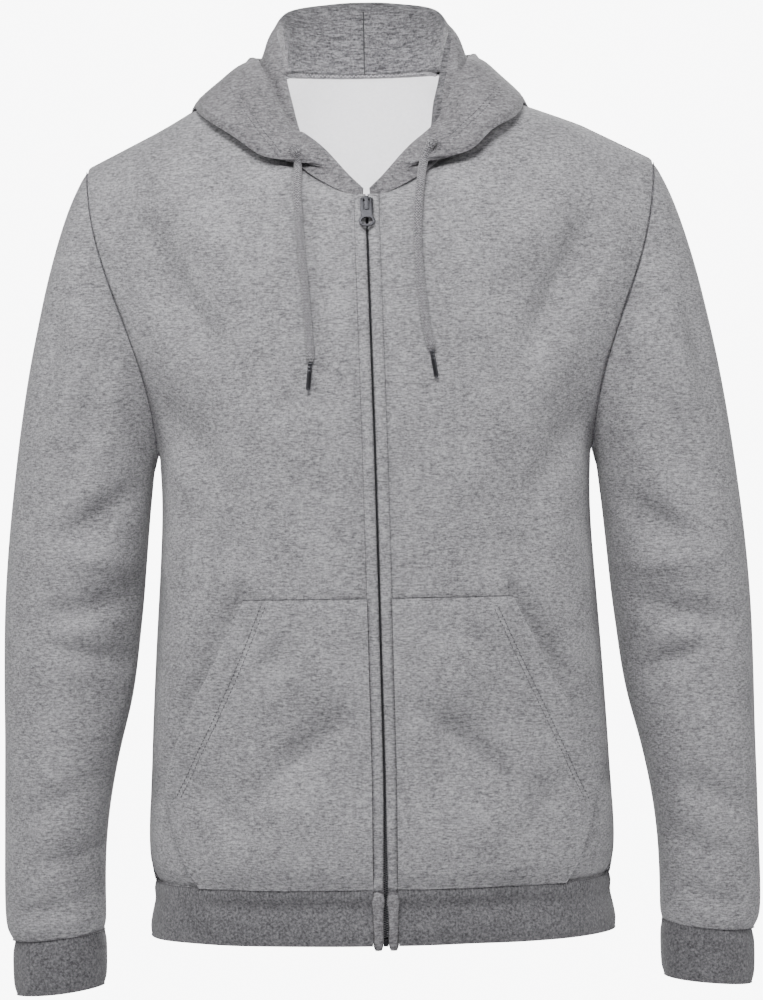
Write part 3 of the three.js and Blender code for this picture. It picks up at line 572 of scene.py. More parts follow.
def lean(x, z):
    """How far to one side the cloth at X and Z lies, in metres."""
    return MM * np.interp(z / MM, LEAN["z"], LEAN["x"]) * bell(x / MM, LEAN["half"])


def settled(x, z):
    """How far the cloth at X and Z moves sideways around the neck, in metres."""
    height = step(z, -75 * MM, -30 * MM) * (1 - step(z, 36 * MM, 56 * MM))
    far = np.abs(x) / MM
    right, left = (np.interp(far, NECK["from"], NECK[side]) for side in ("right", "left"))
    return np.sign(x) * np.where(x < 0, right, left) * height * MM


def off_line(points, line):
    """How far each point lies from a line that runs through the given points."""
    nearest = np.full(len(points), np.inf)
    for a, b in zip(line, line[1:]):
        t = np.clip((points - a) @ (b - a) / ((b - a) @ (b - a)), 0, 1)
        nearest = np.minimum(nearest, np.linalg.norm(points - (a + t[:, None] * (b - a)), axis=1))
    return nearest


def folded(points):
    """The points after the folds, the stitches and a slight unevenness have moved them."""
    p = np.asarray(points, float)
    out = p.copy()
    for a, b, push, depth, half in FOLD_LINES:
        run = b - a
        t = np.clip((p - a) @ run / (run @ run), 0, 1)
        away = p - (a + t[:, None] * run)
        deep = away @ push
        across = np.linalg.norm(away - deep[:, None] * push, axis=1)
        size = depth * (0.45 + 0.55 * np.sin(math.pi * t)) * bell(across, half)
        size *= np.exp(-(deep / (26 * MM)) ** 4)
        out -= size[:, None] * push
    for line, push, deep, half in DRAWN_LINES:
        out -= (deep * MM * bell(off_line(p, line) / MM, half))[:, None] * push
    uneven = sum(a * np.sin(p @ (d / np.linalg.norm(d)) * k + f) for d, k, f, a in WAVE_ROWS)
    near_zip = step(np.abs(p[:, 0]), 12 * MM, 70 * MM)
    near_neck = 1 - step(p[:, 2], -70 * MM, -20 * MM)
    face = np.clip(p[:, 1] / (30 * MM), -1, 1)
    out[:, 1] += face * uneven * 1.6 * MM * near_zip * near_neck
    out[:, 0] += lean(p[:, 0], p[:, 2]) + settled(p[:, 0], p[:, 2])
    return out


print("folds:", len(FOLD_LINES))

# %% [markdown]
# ## The cloth pieces
# Each panel is a wall of fleece about two millimetres thick, cut and sewn at its edges. Its own
# solid gives the true form, so a copy is made fine by subdivision with its cut edges kept
# sharp. Then the edges roll down into the seams, and the folds are pressed in.

# %% What is outside
ARM_LINE = [Vector((199, 0, -195)) * MM, Vector((236, 0, -420)) * MM, Vector((258, -12, -731)) * MM]


def outward(kind, p):
    """For rows of points, the direction away from the middle of the body or of the arm."""
    q = np.asarray(p, float)
    if kind == "body":
        high = np.maximum(q[:, 2] + 300 * MM, 0)
        return np.stack([q[:, 0] * 0.6, q[:, 1], high * 0.7], 1)
    side = np.sign(q[:, :1])
    best, off = None, None
    for a, b in zip(ARM_LINE, ARM_LINE[1:]):
        a = np.array(a) * np.concatenate([side, np.ones((len(q), 2))], 1)
        b = np.array(b) * np.concatenate([side, np.ones((len(q), 2))], 1)
        run = b - a
        t = np.clip(((q - a) * run).sum(1) / (run * run).sum(1), 0, 1)
        away = q - (a + t[:, None] * run)
        far = np.linalg.norm(away, axis=1)
        if best is None:
            best, off = far, away
        else:
            near = far < best
            off[near] = away[near]
    return off


# %% Make one cloth piece
def fine_copy(node, name, levels, shape=None):
    """The node's form as a finer mesh whose cut edges keep their place."""
    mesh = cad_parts[node].data.copy()
    bm = bmesh.new()
    bm.from_mesh(mesh)
    bmesh.ops.remove_doubles(bm, verts=bm.verts, dist=0.02 * MM)
    bmesh.ops.join_triangles(bm, faces=bm.faces, angle_face_threshold=0.7, angle_shape_threshold=3.0)
    layer = bm.edges.layers.float.get("crease_edge") or bm.edges.layers.float.new("crease_edge")
    for e in bm.edges:
        if len(e.link_faces) == 2 and e.calc_face_angle() > math.radians(48):
            e[layer] = 1.0
    bm.to_mesh(mesh)
    bm.free()
    mesh.name = name
    if shape:
        set_coords(mesh, shape(coords(mesh)))
    piece = only(linked(name, mesh))
    if levels:
        finer = piece.modifiers.new("finer", "SUBSURF")
        finer.levels = finer.render_levels = levels
        bpy.ops.object.modifier_apply(modifier=finer.name)
    return piece


def round_edges(piece, width, angle=45, segments=2):
    """Bevels the edges that are sharper than an angle, by a width in mm."""
    only(piece)
    edge = piece.modifiers.new("edge", "BEVEL")
    edge.width = width * MM
    edge.segments = segments
    edge.angle_limit = math.radians(angle)
    bpy.ops.object.modifier_apply(modifier=edge.name)


# %% The form of each kind of panel
# Rounded changes of the hood: height in mm, then X and width, then Z and width where it has them.
HOOD = {
    "raised": 4.5,
    "shoulder": (2.2, 62, 18),
    "dip": (1.6, 0, 9),
    "corner": (7, 134, 20, -22, 26),
    "lifted": (8, 100, 24, -68, 16),
    "at_zip": (2.4, 0, 32, -108, 5),
    "groove": (0.9, 0, 1.3),
}


def mound(size, x, z):
    """The height in mm of a rounded change at X and Z."""
    high, middle, wide, *upright = size
    out = high * bell(x - middle, wide)
    return out * bell(z - upright[0], upright[1]) if upright else out


SEAM_TUCK = 2.2  # how far a cut edge goes up into its seam
POCKET_TUCK = {"within": 11, "to": 9.7}  # the pocket's inner edge, from the middle of the front


def closed(p, reach=0.5):
    """The edges that end less than reach mm from the middle, brought together in the middle."""
    q = p.copy()
    q[np.abs(q[:, 0]) < reach * MM, 0] = 0
    return q


def hood_form(p):
    """The hood halves joined in the middle, with a full round top and long pointed flaps."""
    q = closed(p)
    x, y, z = np.abs(q[:, 0]) / MM, q[:, 1] / MM, q[:, 2] / MM
    top = HOOD["raised"] + mound(HOOD["shoulder"], x, z) - mound(HOOD["dip"], x, z)
    lifted = mound(HOOD["lifted"], x, z) * (q[:, 0] > 0) * (y < 0)
    at_zip = mound(HOOD["at_zip"], x, z) * (y < 0)
    q[:, 2] += (top * step(z, 8, 45) - mound(HOOD["corner"], x, z) + lifted - at_zip) * MM
    q[:, 0] -= np.where(q[:, 0] < 0, x / 65 * 7 * bell(z - 50, 14), 0) * MM
    q[:, 1] += mound(HOOD["groove"], x, z) * step(z, 0, 8) * MM
    return q


def tucked(p):
    """The pocket's inner edge taken in under the welt."""
    q = p.copy()
    near = np.abs(q[:, 0]) < POCKET_TUCK["within"] * MM
    q[near, 0] = np.sign(q[near, 0]) * POCKET_TUCK["to"] * MM
    return q


def front_form(p):
    """The front with its neck edge taken up into the hood's seam beside the zip."""
    q = p.copy()
    x, z = np.abs(q[:, 0]) / MM, q[:, 2] / MM
    q[:, 2] += SEAM_TUCK * bell(x - 12, 26) * step(z, -122, -110) * MM
    return q


def band_form(p):
    """The rib band with its upper edge taken up into its seam."""
    q = p.copy()
    high = q[:, 2].max()
    q[:, 2] += SEAM_TUCK * MM * step(q[:, 2], high - 6 * MM, high - 2 * MM)
    return q


# %% The pocket's mouth and the hem
MOUTH = [(103, -421), (133, -480), (154, -520), (169, -572)]  # the pocket's open edge, X and Z in mm
UNDER_MOUTH = {"deep": 6.5, "from_edge": 4, "half": 8}
MOUTH_HEM = {"high": 2.8, "from_edge": -2.5, "half": 6}
HEM_TUCK = {"deep": 2.6, "z": (628, 647)}
# The rib is fuller and more drawn in at the front and back than at the flanks: both are given.
BAND = {"full": (2.6, 0.8), "drawn": (3.2, 1.6), "flare": 3.0, "flank": (110, 165)}


def from_mouth(p):
    """How far in mm each point lies from the pocket's open edge, minus where it is on the pocket."""
    q = np.stack([np.abs(p[:, 0]), p[:, 2]], 1) / MM
    line = np.array(MOUTH, float)
    inside = q[:, 0] < np.interp(-q[:, 1], -line[:, 1], line[:, 0])
    return np.where(inside, -1, 1) * off_line(q, line)


def moved_out(p, far):
    """The points moved away from the middle of the body by far, in mm."""
    out = outward("body", p)
    out[:, 2] = 0
    return p + out / np.linalg.norm(out, axis=1)[:, None] * far[:, None] * MM


def at_hem(p):
    """How far in mm the body's cloth goes in towards the hem seam."""
    return HEM_TUCK["deep"] * step(-p[:, 2] / MM, *HEM_TUCK["z"])


def beside_mouth(p):
    """The front sinks where the pocket's mouth stands open over it."""
    deep = UNDER_MOUTH["deep"] * bell(from_mouth(p) - UNDER_MOUTH["from_edge"], UNDER_MOUTH["half"])
    return moved_out(p, -(deep + at_hem(p)) * (p[:, 1] < 0))


def mouth_hem(p):
    """The pocket's mouth is a hem of two more layers, so it stands up beside its stitches."""
    high = MOUTH_HEM["high"] * bell(from_mouth(p) - MOUTH_HEM["from_edge"], MOUTH_HEM["half"])
    return moved_out(p, high - at_hem(p))


def swelled(p):
    """The rib band: full just below its seam, drawn in under that, and wider at its lower edge."""
    down = (p[:, 2].max() - p[:, 2]) / MM
    soft = 0.75 + 0.25 * np.sin(p[:, 0] / (31 * MM)) * np.cos(p[:, 0] / (17 * MM) + 1)
    flank = step(np.abs(p[:, 0]) / MM, *BAND["flank"])
    full, drawn = (front + (side - front) * flank for front, side in (BAND["full"], BAND["drawn"]))
    far = full * bell(down - 4, 5) - drawn * soft * bell(down - 15, 6)
    return moved_out(p, far + BAND["flare"] * step(down, 20, 44))


# %% Roll the edges in, press the folds in and give the inside its own cloth
SEAM_ROLL = {"width": 5.5, "depth": 1.2}
SEAM_WIDE = 12  # the seam allowance, which is the cloth's own face
SEAM_TOP = -20  # above this the inner side is brushed up to its edge


def roll_edges(piece, kind, beyond=0):
    """The outer face sinks towards its cut edges, as it does beside a seam. Edges that lie less
    than beyond mm from the middle stay flat."""
    mesh = piece.data
    bm = bmesh.new()
    bm.from_mesh(mesh)
    sharp = [e for e in bm.edges if len(e.link_faces) == 2 and e.calc_face_angle() > 0.7]
    rim = {v.index for e in sharp for v in e.verts if abs(v.co.x) > beyond * MM}
    bm.free()
    p = coords(mesh)
    normal = np.array([v.normal for v in mesh.vertices])
    out = outward(kind, p)
    outer = (normal * out).sum(1) > 0.15 * np.linalg.norm(out, axis=1)
    tree = KDTree(len(rim))
    for i in rim:
        tree.insert(p[i], i)
    tree.balance()
    away = np.array([tree.find(q)[2] for q in p]) / MM
    down = SEAM_ROLL["depth"] * MM * bell(away, SEAM_ROLL["width"]) * outer
    mesh.attributes.new("from_edge", "FLOAT", "POINT").data.foreach_set("value", away.astype(np.float32))
    unit = out / np.maximum(np.linalg.norm(out, axis=1), 1e-9)[:, None]
    set_coords(mesh, p - unit * down[:, None])


def finish_cloth(piece, materials, kind=None):
    """Press the folds in, shade it smooth, and give the inner face its own material."""
    mesh = piece.data
    set_coords(mesh, folded(coords(mesh)))
    mesh.materials.clear()
    for m in materials:
        mesh.materials.append(m)
    index = np.zeros(len(mesh.polygons), np.int32)
    if len(materials) > 1:
        out = outward(kind, [f.center for f in mesh.polygons])
        normal = np.array([f.normal for f in mesh.polygons])
        inside = (normal * out).sum(1) < -0.35 * np.linalg.norm(out, axis=1)
        away = mesh.attributes["from_edge"].data
        seam = [away[f.vertices[0]].value < SEAM_WIDE and f.center.z < SEAM_TOP * MM for f in mesh.polygons]
        index = (inside & ~np.array(seam)).astype(np.int32)
    mesh.polygons.foreach_set("material_index", index)
    only(piece)
    bpy.ops.object.shade_smooth_by_angle(angle=math.radians(50))
    return piece


# %% Make every panel
PANELS = {  # node: levels, materials, what it wraps, its form
    "front": (3, (melange, brushed), "body", front_form),
    "back": (3, (melange, brushed), "body", None),
    "sleeve": (3, (melange, brushed), "arm", None),
    "pocket": (3, (melange,), "body", tucked),
    "hem_rib": (2, (ribbed,), "body", band_form),
    "cuff": (2, (ribbed,), "arm", band_form),
    # The hood takes the cloth's darker painted-shade copy.
    "hood_lining": (2, (shaded_lining_melange,), None, hood_form),
    "hood": (2, (shaded_face_melange,), None, hood_form),
}
# What is shaped only once the panel is fine.
FINE_FORM = {"front": beside_mouth, "pocket": mouth_hem, "hem_rib": swelled}
POCKET_INNER = 12  # the pocket's edge nearer the middle than this is under the welt and stays flat
made = {}
for node in sorted(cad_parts):
    kind = next((k for k in PANELS if node.startswith(k)), None)
    if kind is None:
        continue
    levels, materials, wraps, form = PANELS[kind]
    piece = fine_copy(node, node + "_cloth", levels, shape=form)
    if kind in FINE_FORM:
        set_coords(piece.data, FINE_FORM[kind](coords(piece.data)))
    if wraps:
        roll_edges(piece, wraps, beyond=POCKET_INNER if kind == "pocket" else 0)
    round_edges(piece, 0.7)
    made[node] = finish_cloth(piece, materials, wraps)
    print(node, len(piece.data.polygons), "faces")

# %% Where the hood's casing shows beside its lining
CASING = {"from": 63, "wider": 0.16}  # its inner edge, in mm from the middle at the neck, and per mm up
for side in ("right", "left"):
    mesh = made["hood_lining_" + side].data
    # The casing strip takes the cloth's darker painted-shade copy.
    mesh.materials.append(shaded_face_melange)
    for face in mesh.polygons:
        x, _, z = face.center / MM
        face.material_index = int(abs(x) > CASING["from"] + CASING["wider"] * z)

# %% [markdown]
# ## The ribs
# Hem and cuffs are one by one rib: a knit column stands up, the next one sinks. Each column is
# about 2.4 mm wide. An attribute counts the ribs around the band, so they run straight up it.

# %% Count the ribs around each band
RIB_PITCH = 2.4
GATHERED = 7  # how far below the seam the ribs are drawn together


def count_ribs(piece, centre):
    """Stores how many ribs lie between each corner and the back of the band."""
    mesh = piece.data
    p = coords(mesh) / MM - (*centre, 0)
    turn = np.arctan2(p[:, 0], p[:, 1])
    ring = np.argsort(turn)
    bins = np.linspace(-math.pi, math.pi, 181)
    radius = np.hypot(p[:, 0], p[:, 1])
    mean = np.interp(bins, turn[ring], np.convolve(radius[ring], np.ones(9) / 9, "same"))
    mean[0], mean[-1] = mean[1], mean[-2]
    x, y = mean * np.sin(bins), mean * np.cos(bins)
    run = np.concatenate([[0], np.cumsum(np.hypot(np.diff(x), np.diff(y)))])
    count = round(run[-1] / RIB_PITCH)
    loops = np.empty(len(mesh.loops), np.int32)
    mesh.loops.foreach_get("vertex_index", loops)
    value = np.interp(turn[loops], bins, run) / run[-1] * count
    starts = np.array([f.loop_start for f in mesh.polygons])
    spans = np.maximum.reduceat(value, starts) - np.minimum.reduceat(value, starts)
    split = np.repeat(spans > count / 2, [f.loop_total for f in mesh.polygons])
    value = np.where(split & (value < count / 2), value + count, value)
    mesh.attributes.new("rib_count", "FLOAT", "CORNER").data.foreach_set("value", value.astype(np.float32))
    # near_seam strengthens both the ribs' bump and their painted shade just below the seam.
    near = bell(p[:, 2].max() - p[:, 2], GATHERED)
    mesh.attributes.new("near_seam", "FLOAT", "POINT").data.foreach_set("value", near.astype(np.float32))
    print(piece.name, "ribs:", count)


count_ribs(made["hem_rib"], (0, 0))
for side, sign in (("right", 1), ("left", -1)):
    count_ribs(made["cuff_" + side], (258 * sign, -12))

# %% [markdown]
# ## The zip
# Two folded strips of cloth, the welts, hide most of the zip. Between them shows a dark slit
# with two rows of metal teeth that lock into each other, and their tapes are behind.

# %% Welts and tapes
HEM_SEAM = -647
WELT = {"outer": 9.6, "slit": (1.2, 2.2), "slit_z": (560, 660), "end": -686, "full": 1.4,
        "overlap": 0.4, "lip": 0.35, "bulge": 1.3, "tie": 3.0}


def puffed(piece):
    """The welt as a soft roll: full in front, tied in at the hem seam, rounded at its end."""
    p = coords(piece.data)
    normal = np.array([v.normal for v in piece.data.vertices])
    front = np.clip(-normal[:, 1], 0, 1)
    side = np.sign(p[:, 0])
    x, z = np.abs(p[:, 0]) / MM, p[:, 2] / MM
    slit = np.interp(-z, WELT["slit_z"], WELT["slit"])
    outer, inner = WELT["outer"] + WELT["overlap"], slit - WELT["lip"]
    middle, half = (inner + outer) / 2, (outer - inner) / 2
    across = (x - (slit + WELT["outer"]) / 2) / ((WELT["outer"] - slit) / 2)
    bulb = bell(z - HEM_SEAM + 8, 5)
    past = np.clip((WELT["end"] - z) / 4, 0, 1)
    wide = np.sqrt(1 - (0.84 * past) ** 2)
    forward = WELT["full"] * (1 - across ** 2) - 1.8 * np.clip((np.abs(across) - 0.55) / 0.45, 0, 1) ** 2
    forward += WELT["bulge"] * bulb * (1 - across ** 2) - 1.6 * past
    forward -= WELT["tie"] * bell(z - HEM_SEAM, 2.0)
    p[:, 0] = side * (middle + across * (half * wide + 0.9 * bulb)) * MM
    p[:, 1] -= forward * front * MM
    p[:, 2] += (SEAM_TUCK * step(z, -122, -112) - 2.6 * past) * MM
    set_coords(piece.data, p)


def cut_across(piece, heights):
    """Adds an edge loop at each height in mm, where the form will need one."""
    only(piece)
    bpy.ops.object.mode_set(mode="EDIT")
    for z in heights:
        bpy.ops.mesh.select_all(action="SELECT")
        bpy.ops.mesh.bisect(plane_co=(0, 0, z * MM), plane_no=(0, 0, 1))
    bpy.ops.object.mode_set(mode="OBJECT")


for side in ("right", "left"):
    welt = fine_copy("welt_" + side, f"welt_{side}_cloth", 3)
    cut_across(welt, [HEM_SEAM + d for d in (-12, -9, -6, -4, -2.6, -1.3, 0, 1.3, 2.6, 4)])
    cut_across(welt, [WELT["end"] - d for d in (0, 0.8, 1.6, 2.4, 3.0, 3.5)])
    puffed(welt)
    made["welt_" + side] = finish_cloth(welt, (melange,))
    # Below the hem seam the welt takes the cloth's darker painted-shade copy.
    welt.data.materials.append(shaded_face_melange)
    for face in welt.data.polygons:
        face.material_index = int(face.center.z < HEM_SEAM * MM)
    tape = fine_copy("zip_tape_" + side, f"zip_tape_{side}_woven", 2, shape=lambda p: closed(p, 1.6))
    made["zip_tape_" + side] = finish_cloth(tape, (tape_cloth,))

# %% One tooth, then the whole chain
TOOTH = {"wide": 2.9, "thick": 0.85, "deep": 1.5, "pitch": 1.8}
bpy.ops.mesh.primitive_cube_add(size=1, location=(0, 0, 0))
tooth = bpy.context.active_object
tooth.name = "tooth"
tooth.scale = (TOOTH["wide"] * MM, TOOTH["deep"] * MM, TOOTH["thick"] * MM)
bpy.ops.object.transform_apply(location=False, rotation=False, scale=True)
bevel = tooth.modifiers.new("edge", "BEVEL")
bevel.width = 0.25 * MM
bevel.segments = 1
bpy.ops.object.modifier_apply(modifier=bevel.name)
tooth_points = coords(tooth.data)
tooth_faces = [list(f.vertices) for f in tooth.data.polygons]
bpy.data.objects.remove(tooth)


def many(name, points, faces, places):
    """One mesh with a copy of a small shape at each place; a place is a 3x3 matrix and a point."""
    verts, polys = [], []
    for k, (turn, at) in enumerate(places):
        verts.append(points @ np.asarray(turn).T + at)
        polys += [[k * len(points) + i for i in f] for f in faces]
    mesh = bpy.data.meshes.new(name)
    mesh.from_pydata(np.concatenate(verts).tolist(), [], polys)
    return linked(name, mesh)


for side, sign in (("right", 1), ("left", -1)):
    low, high = (c.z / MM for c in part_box("zip_teeth_" + side))
    strip = surface_of([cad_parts["zip_teeth_" + side]])
    places = []
    z = low + 1 + (TOOTH["pitch"] / 2 if sign > 0 else 0)
    while z < high - 1:
        at, _ = seen_at(strip, sign * 1.4, z)
        places.append((np.eye(3), np.array(at) + (sign * -0.25 * MM, 0.5 * MM, 0)))
        z += TOOTH["pitch"]
    teeth = many(f"teeth_{side}", tooth_points, tooth_faces, places)
    made["zip_teeth_" + side] = finish_cloth(teeth, (tooth_metal,))
    print(teeth.name, len(places), "teeth")

# %% [markdown]
# ## Slider, pull tab, bottom box and cord tips
# These are small die cast parts with soft edges. The forms are right already, so each gets
# rounded edges by a bevel, which is what catches the light on real metal.

# %% Round the metal pieces
def metal_copy(node, name, width, material):
    """The node's own form with its edges rounded by a width in mm."""
    piece = fine_copy(node, name, 0)
    round_edges(piece, width, 35, 3)
    return finish_cloth(piece, (material,))


made["zip_slider"] = metal_copy("zip_slider", "slider_metal", 0.3, nickel)
made["pull_tab"] = metal_copy("pull_tab", "pull_tab_metal", 0.3, nickel)
made["zip_box"] = metal_copy("zip_box", "box_metal", 0.4, nickel)

# %% Finish the cords and their tips
# The tip is a rolled tube with two crimps: share of its length and radius in mm.
TIP_PROFILE = [(0, 1.5), (0.03, 1.8), (0.08, 1.8), (0.1, 1.62), (0.14, 1.62), (0.16, 1.8), (0.22, 1.8),
               (0.24, 1.62), (0.28, 1.62), (0.3, 1.8), (0.93, 1.75), (0.98, 1.35), (1, 1.0)]


def tip_size(share):
    """The tip's radius at a share of its length."""
    return MM * float(np.interp(share, *zip(*TIP_PROFILE)))


for side, parts in cords.items():
    cord = parts["cord"]
    set_coords(cord.data, folded(coords(cord.data)))
    cord.data.materials.append(cord_cloth)
    parts["path"] = [Vector(q) for q in folded(np.array([list(v) for v in parts["path"]]))]
    a, b = (Vector(q) for q in folded(np.array([list(v) for v in parts["tip"]])))
    line = [a.lerp(b, t) for t in np.linspace(0, 1, 60)]
    tip = tube("tip_" + side, line, tip_size, 20)
    tip.data.materials.append(tip_metal)
    made["drawstring_" + side], made["aglet_" + side] = cord, tip

# %% [markdown]
# ## Sewing
# Twin rows of stitches hold the pockets' slanted hems and the hood's casing, small stitches
# bind the two eyelets, a raised seam covers the back of the neck, and a dark line painted as
# the shadow in the seam marks where the hood's halves are joined. One stitch is modelled as a
# short fat thread, darker than the cloth as painted shade, and copied along lines that lie on the finished
# cloth.

# %% One stitch, and lines of them
STITCH = {"long": 2.3, "thick": 0.75, "pitch": 3.1, "apart": 3.4}
bpy.ops.object.select_all(action="DESELECT")
bpy.ops.mesh.primitive_uv_sphere_add(segments=8, ring_count=6, radius=0.5)
stitch = bpy.context.active_object
stitch.scale = (STITCH["long"] * MM, STITCH["thick"] * MM, STITCH["thick"] * MM)
bpy.ops.object.transform_apply(location=False, rotation=False, scale=True)
stitch_points = coords(stitch.data)
stitch_faces = [list(f.vertices) for f in stitch.data.polygons]
bpy.data.objects.remove(stitch)
dressed = surface_of([made[n] for n in made if n.split("_")[0] in ("front", "pocket", "hood")])
sewing = []


def sewn(piece, material):
    """Give a sewn line its thread, and keep it for the end."""
    piece.data.materials.append(material)
    piece.data.shade_smooth()
    sewing.append(piece)


def placed(at, run, out):
    """A 3x3 turn with X along the run and Z out of the cloth, and the place."""
    out = Vector(out).normalized()
    run = (Vector(run) - out * Vector(run).dot(out)).normalized()
    return np.array([list(run), list(out.cross(run)), list(out)]).T, np.array(at)


def row_of_stitches(points, shift=0.0):
    """Places for stitches along a line of (X, Z) points in mm on the front, moved aside by shift."""
    flat = [Vector((x, 0, z)) for x, z in points]
    length = sum((b - a).length for a, b in zip(flat, flat[1:]))
    line = smooth_line(flat, max(3, round(length / STITCH["pitch"])))
    runs = [(b - a).normalized() for a, b in zip(line, line[1:])]
    middles = [(a + b) / 2 + Vector((-r.z, 0, r.x)) * shift for a, b, r in zip(line, line[1:], runs)]
    spots = folded([list(seen_at(outermost, m.x, m.z)[0]) for m in middles])
    out = []
    for run, spot in zip(runs, spots):
        at, normal = seen_at(dressed, spot[0] / MM, spot[2] / MM)
        out.append(placed(at + normal * 0.12 * MM, run, normal))
    return out


# %% Sew the twin rows
for name, points in TWIN_STITCH.items():
    places = [q for shift in (-0.5, 0.5) for q in row_of_stitches(points, shift * STITCH["apart"])]
    sewn(many("stitches_" + name, stitch_points, stitch_faces, places), thread)
    print(name, len(places), "stitches")

# %% Bind the eyelets
EYELET = {"radius": 4.3, "stitches": 18}
for side, parts in cords.items():
    at, out, _, _ = dressed.find_nearest(parts["path"][0])
    if out.y > 0:
        out.negate()
    across = out.cross(Vector((0, 0, 1))).normalized()
    up = across.cross(out)
    places = []
    for k in range(EYELET["stitches"]):
        a = 2 * math.pi * k / EYELET["stitches"]
        ray = across * math.cos(a) + up * math.sin(a) * 1.15
        spot, normal, _, _ = dressed.find_nearest(at + ray * EYELET["radius"] * MM)
        if normal.dot(out) < 0:
            normal.negate()
        places.append(placed(spot + normal * 0.2 * MM, ray, normal))
    sewn(many("eyelet_" + side, stitch_points, stitch_faces, places), thread)

# %% The raised seam at the back of the neck
RIDGE = {"from": -66, "to": 56, "every": 6, "radius": 1.7, "flat": 0.75, "reach": 3}
END_LIMIT = {"forward": 14, "down": 3}  # how far its last point may run past the one beside it
inner = np.concatenate([coords(made["hood_lining_" + side].data) for side in ("right", "left")])
inner = inner[inner[:, 2] > -15 * MM]
rim = coords(made["back"].data)
seam = []
for x in range(RIDGE["from"], RIDGE["to"] + 1, RIDGE["every"]):
    near = rim[np.abs(rim[:, 0] / MM - x) < RIDGE["reach"]]
    below = near[near[:, 2] > near[:, 2].max() - RIDGE["reach"] * MM]
    above = inner[np.abs(inner[:, 0] / MM - x) < RIDGE["reach"]]
    above = above[above[:, 1] < below[:, 1].max() + 12 * MM]
    above = above[above[:, 2] < above[:, 2].min() + RIDGE["reach"] * MM]
    y = min(below[:, 1].min(), above[:, 1].min()) - 0.3 * MM
    seam.append(Vector((x * MM, y, (below[:, 2].max() + above[:, 2].min()) / 2)))
    if x % 20 == 0:
        print("neck seam", [round(c / MM, 1) for c in seam[-1]])
for end, beside in ((seam[0], seam[1]), (seam[-1], seam[-2])):
    end.y = max(end.y, beside.y - END_LIMIT["forward"] * MM)
    end.z = max(end.z, beside.z - END_LIMIT["down"] * MM)
ridge_line = smooth_line(seam, 90)
# The raised neck seam takes the lining's painted-shade cloth.
sewn(tube("neck_ridge", ridge_line, RIDGE["radius"] * MM, 10, flat=RIDGE["flat"]), shaded_lining_melange)
places = []
for k, (a, b) in enumerate(zip(ridge_line, ridge_line[1:])):
    run = (b - a).normalized()
    slant = run + Vector((0, 0, 0.7 if k % 2 else -0.7))
    places.append(placed((a + b) / 2 + Vector((0, -1.25, 0.4 if k % 2 else -0.4)) * MM, slant, (0, -1, 0)))
sewn(many("stitches_neck", stitch_points * 0.85, stitch_faces, places), pale_thread)

# %% The painted shadow line in the hood's centre seam
CENTRE_R = 0.5
lining = surface_of([made["hood_lining_right"], made["hood_lining_left"]])
middle = ridge_line[len(ridge_line) // 2]
down_seam = []
for z in np.arange(middle.z / MM + 2, 57, 4):
    at, normal = seen_at(lining, LEAN["x"][-1], z)
    down_seam.append(at - normal * 0.1 * MM)
# A dark tube in the seam stands for the shadow there.
sewn(tube("centre_seam_shadow", smooth_line(down_seam, 40), CENTRE_R * MM, 8), seam_shadow_line)
print("sewn pieces:", len(sewing))

# %% [markdown]
# ## Floor and light
# The picture is lit softly from above and in front, on white. One large light above the camera
# gives the cloth its shape, weaker ones at the sides keep the sleeves from going dark, and the
# white around the garment is a bright world that only the camera sees.

# %% Pale floor
FLOOR = {"z": -1050, "radius": 2000}
bpy.ops.object.select_all(action="DESELECT")
bpy.ops.mesh.primitive_circle_add(vertices=128, radius=FLOOR["radius"] * MM, fill_type="NGON",
                                  location=(0, 0, FLOOR["z"] * MM))
floor = bpy.context.active_object
floor.name = "floor"
bpy.ops.object.transform_apply(location=True, rotation=False, scale=False)
paper = plain_material("matt white paper", "f4f4f5", 0.9, size=40, variation=0.01, grain=0.05)
floor.data.materials.append(paper)

# %% Soft light
def area_light(name, place, aim, size, watts):
    """A soft rectangular light, with its place, aim and size in mm."""
    light = bpy.data.objects.new(name, bpy.data.lights.new(name, "AREA"))
    bpy.context.scene.collection.objects.link(light)
    light.data.shape = "RECTANGLE"
    light.data.size, light.data.size_y = (s * MM for s in size)
    light.data.energy = watts
    light.location = Vector(place) * MM
    light.rotation_euler = (Vector(aim) * MM - light.location).to_track_quat("-Z", "Y").to_euler()
    return light


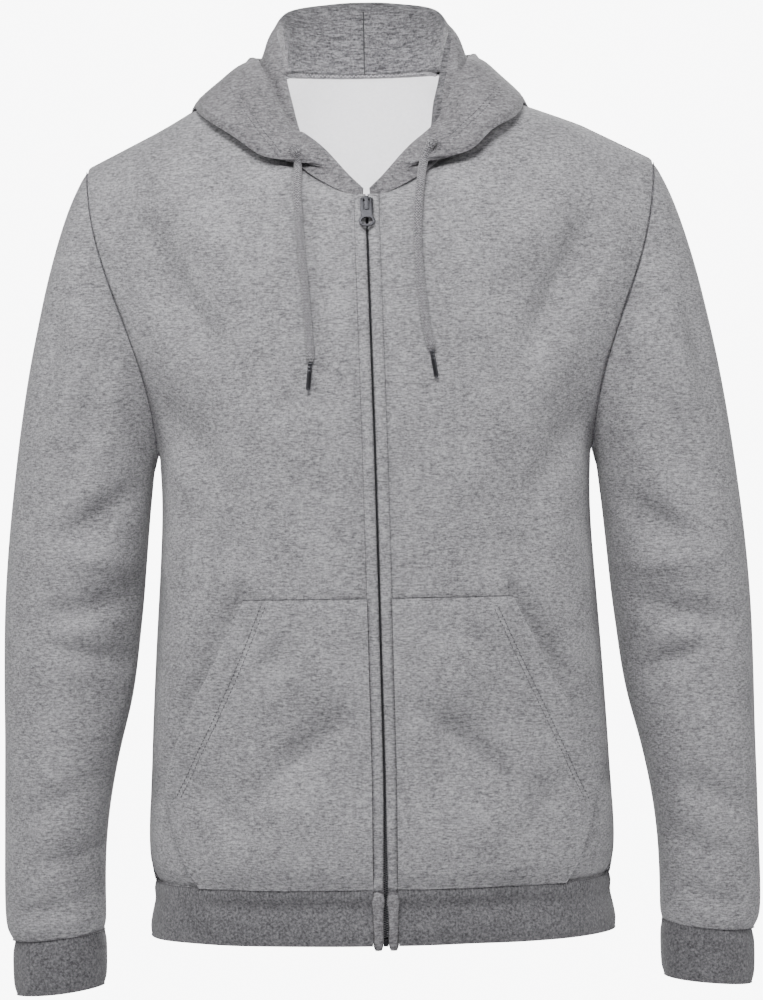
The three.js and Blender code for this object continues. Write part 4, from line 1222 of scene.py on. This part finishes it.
area_light("front", (-150, -1250, 800), (0, 0, -300), (700, 500), 30)
area_light("left side", (-2000, -850, 900), (0, 0, -300), (900, 1300), 30)
area_light("right side", (2000, -850, 900), (0, 0, -300), (900, 1300), 28)
area_light("behind", (300, 1800, 900), (0, 0, -300), (1400, 1000), 42)
inside = area_light("inside", (-4, -40, -60), (-4, 95, -45), (70, 50), 0.3)
inside.visible_camera = False
world = bpy.data.worlds.new("studio")
bpy.context.scene.world = world
world.use_nodes = True
air = world.node_tree
fill = add_node(air, "ShaderNodeBackground", {"Color": linear("f2f4f8"), "Strength": 0.05})
white = add_node(air, "ShaderNodeBackground", {"Color": linear("fbfbfc"), "Strength": 9.0})
seen = add_node(air, "ShaderNodeLightPath").outputs["Is Camera Ray"]
both = add_node(air, "ShaderNodeMixShader", {0: seen, 1: fill.outputs[0], 2: white.outputs[0]})
air.links.new(both.outputs[0], air.nodes["World Output"].inputs["Surface"])

# %% [markdown]
# ## Put it together
# Every piece rides with its part of the frame: the tab with its own hinge, all the rest with
# the garment.

# %% Ride and replace
for node, piece in made.items():
    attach(piece, "tab" if node == "pull_tab" else "garment")
    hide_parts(node)
for piece in sewing:
    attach(piece, "garment")

# %% The cut of every piece of cloth
# Width and length in mm, the share of that rectangle which the curved cut leaves, how it is
# held, and what it lies on or hangs from.
CUT = {
    "front": (290, 620, 0.79, "hung", ["hood"]),
    "back": (560, 640, 0.84, "hung", ["hood"]),
    "sleeve": (440, 560, 0.7, "hung", ["front", "back"]),
    "cuff": (195, 55, 1, "hung", ["sleeve"]),
    "hem_rib": (985, 42, 1, "hung", ["front", "back"]),
    "hood_lining": (280, 400, 0.87, "folded", ["back"]),
    "hood": (280, 400, 0.88, "folded", ["back", "front"]),
    "pocket": (160, 226, 0.9, "laid", ["front"]),
    "welt": (10.6, 580, 1, "folded", ["front"]),
    "zip_tape": (14, 571, 1, "laid", ["welt"]),
}
for node, piece in made.items():
    kind = next((k for k in CUT if node.startswith(k)), None)
    if kind is None:
        continue
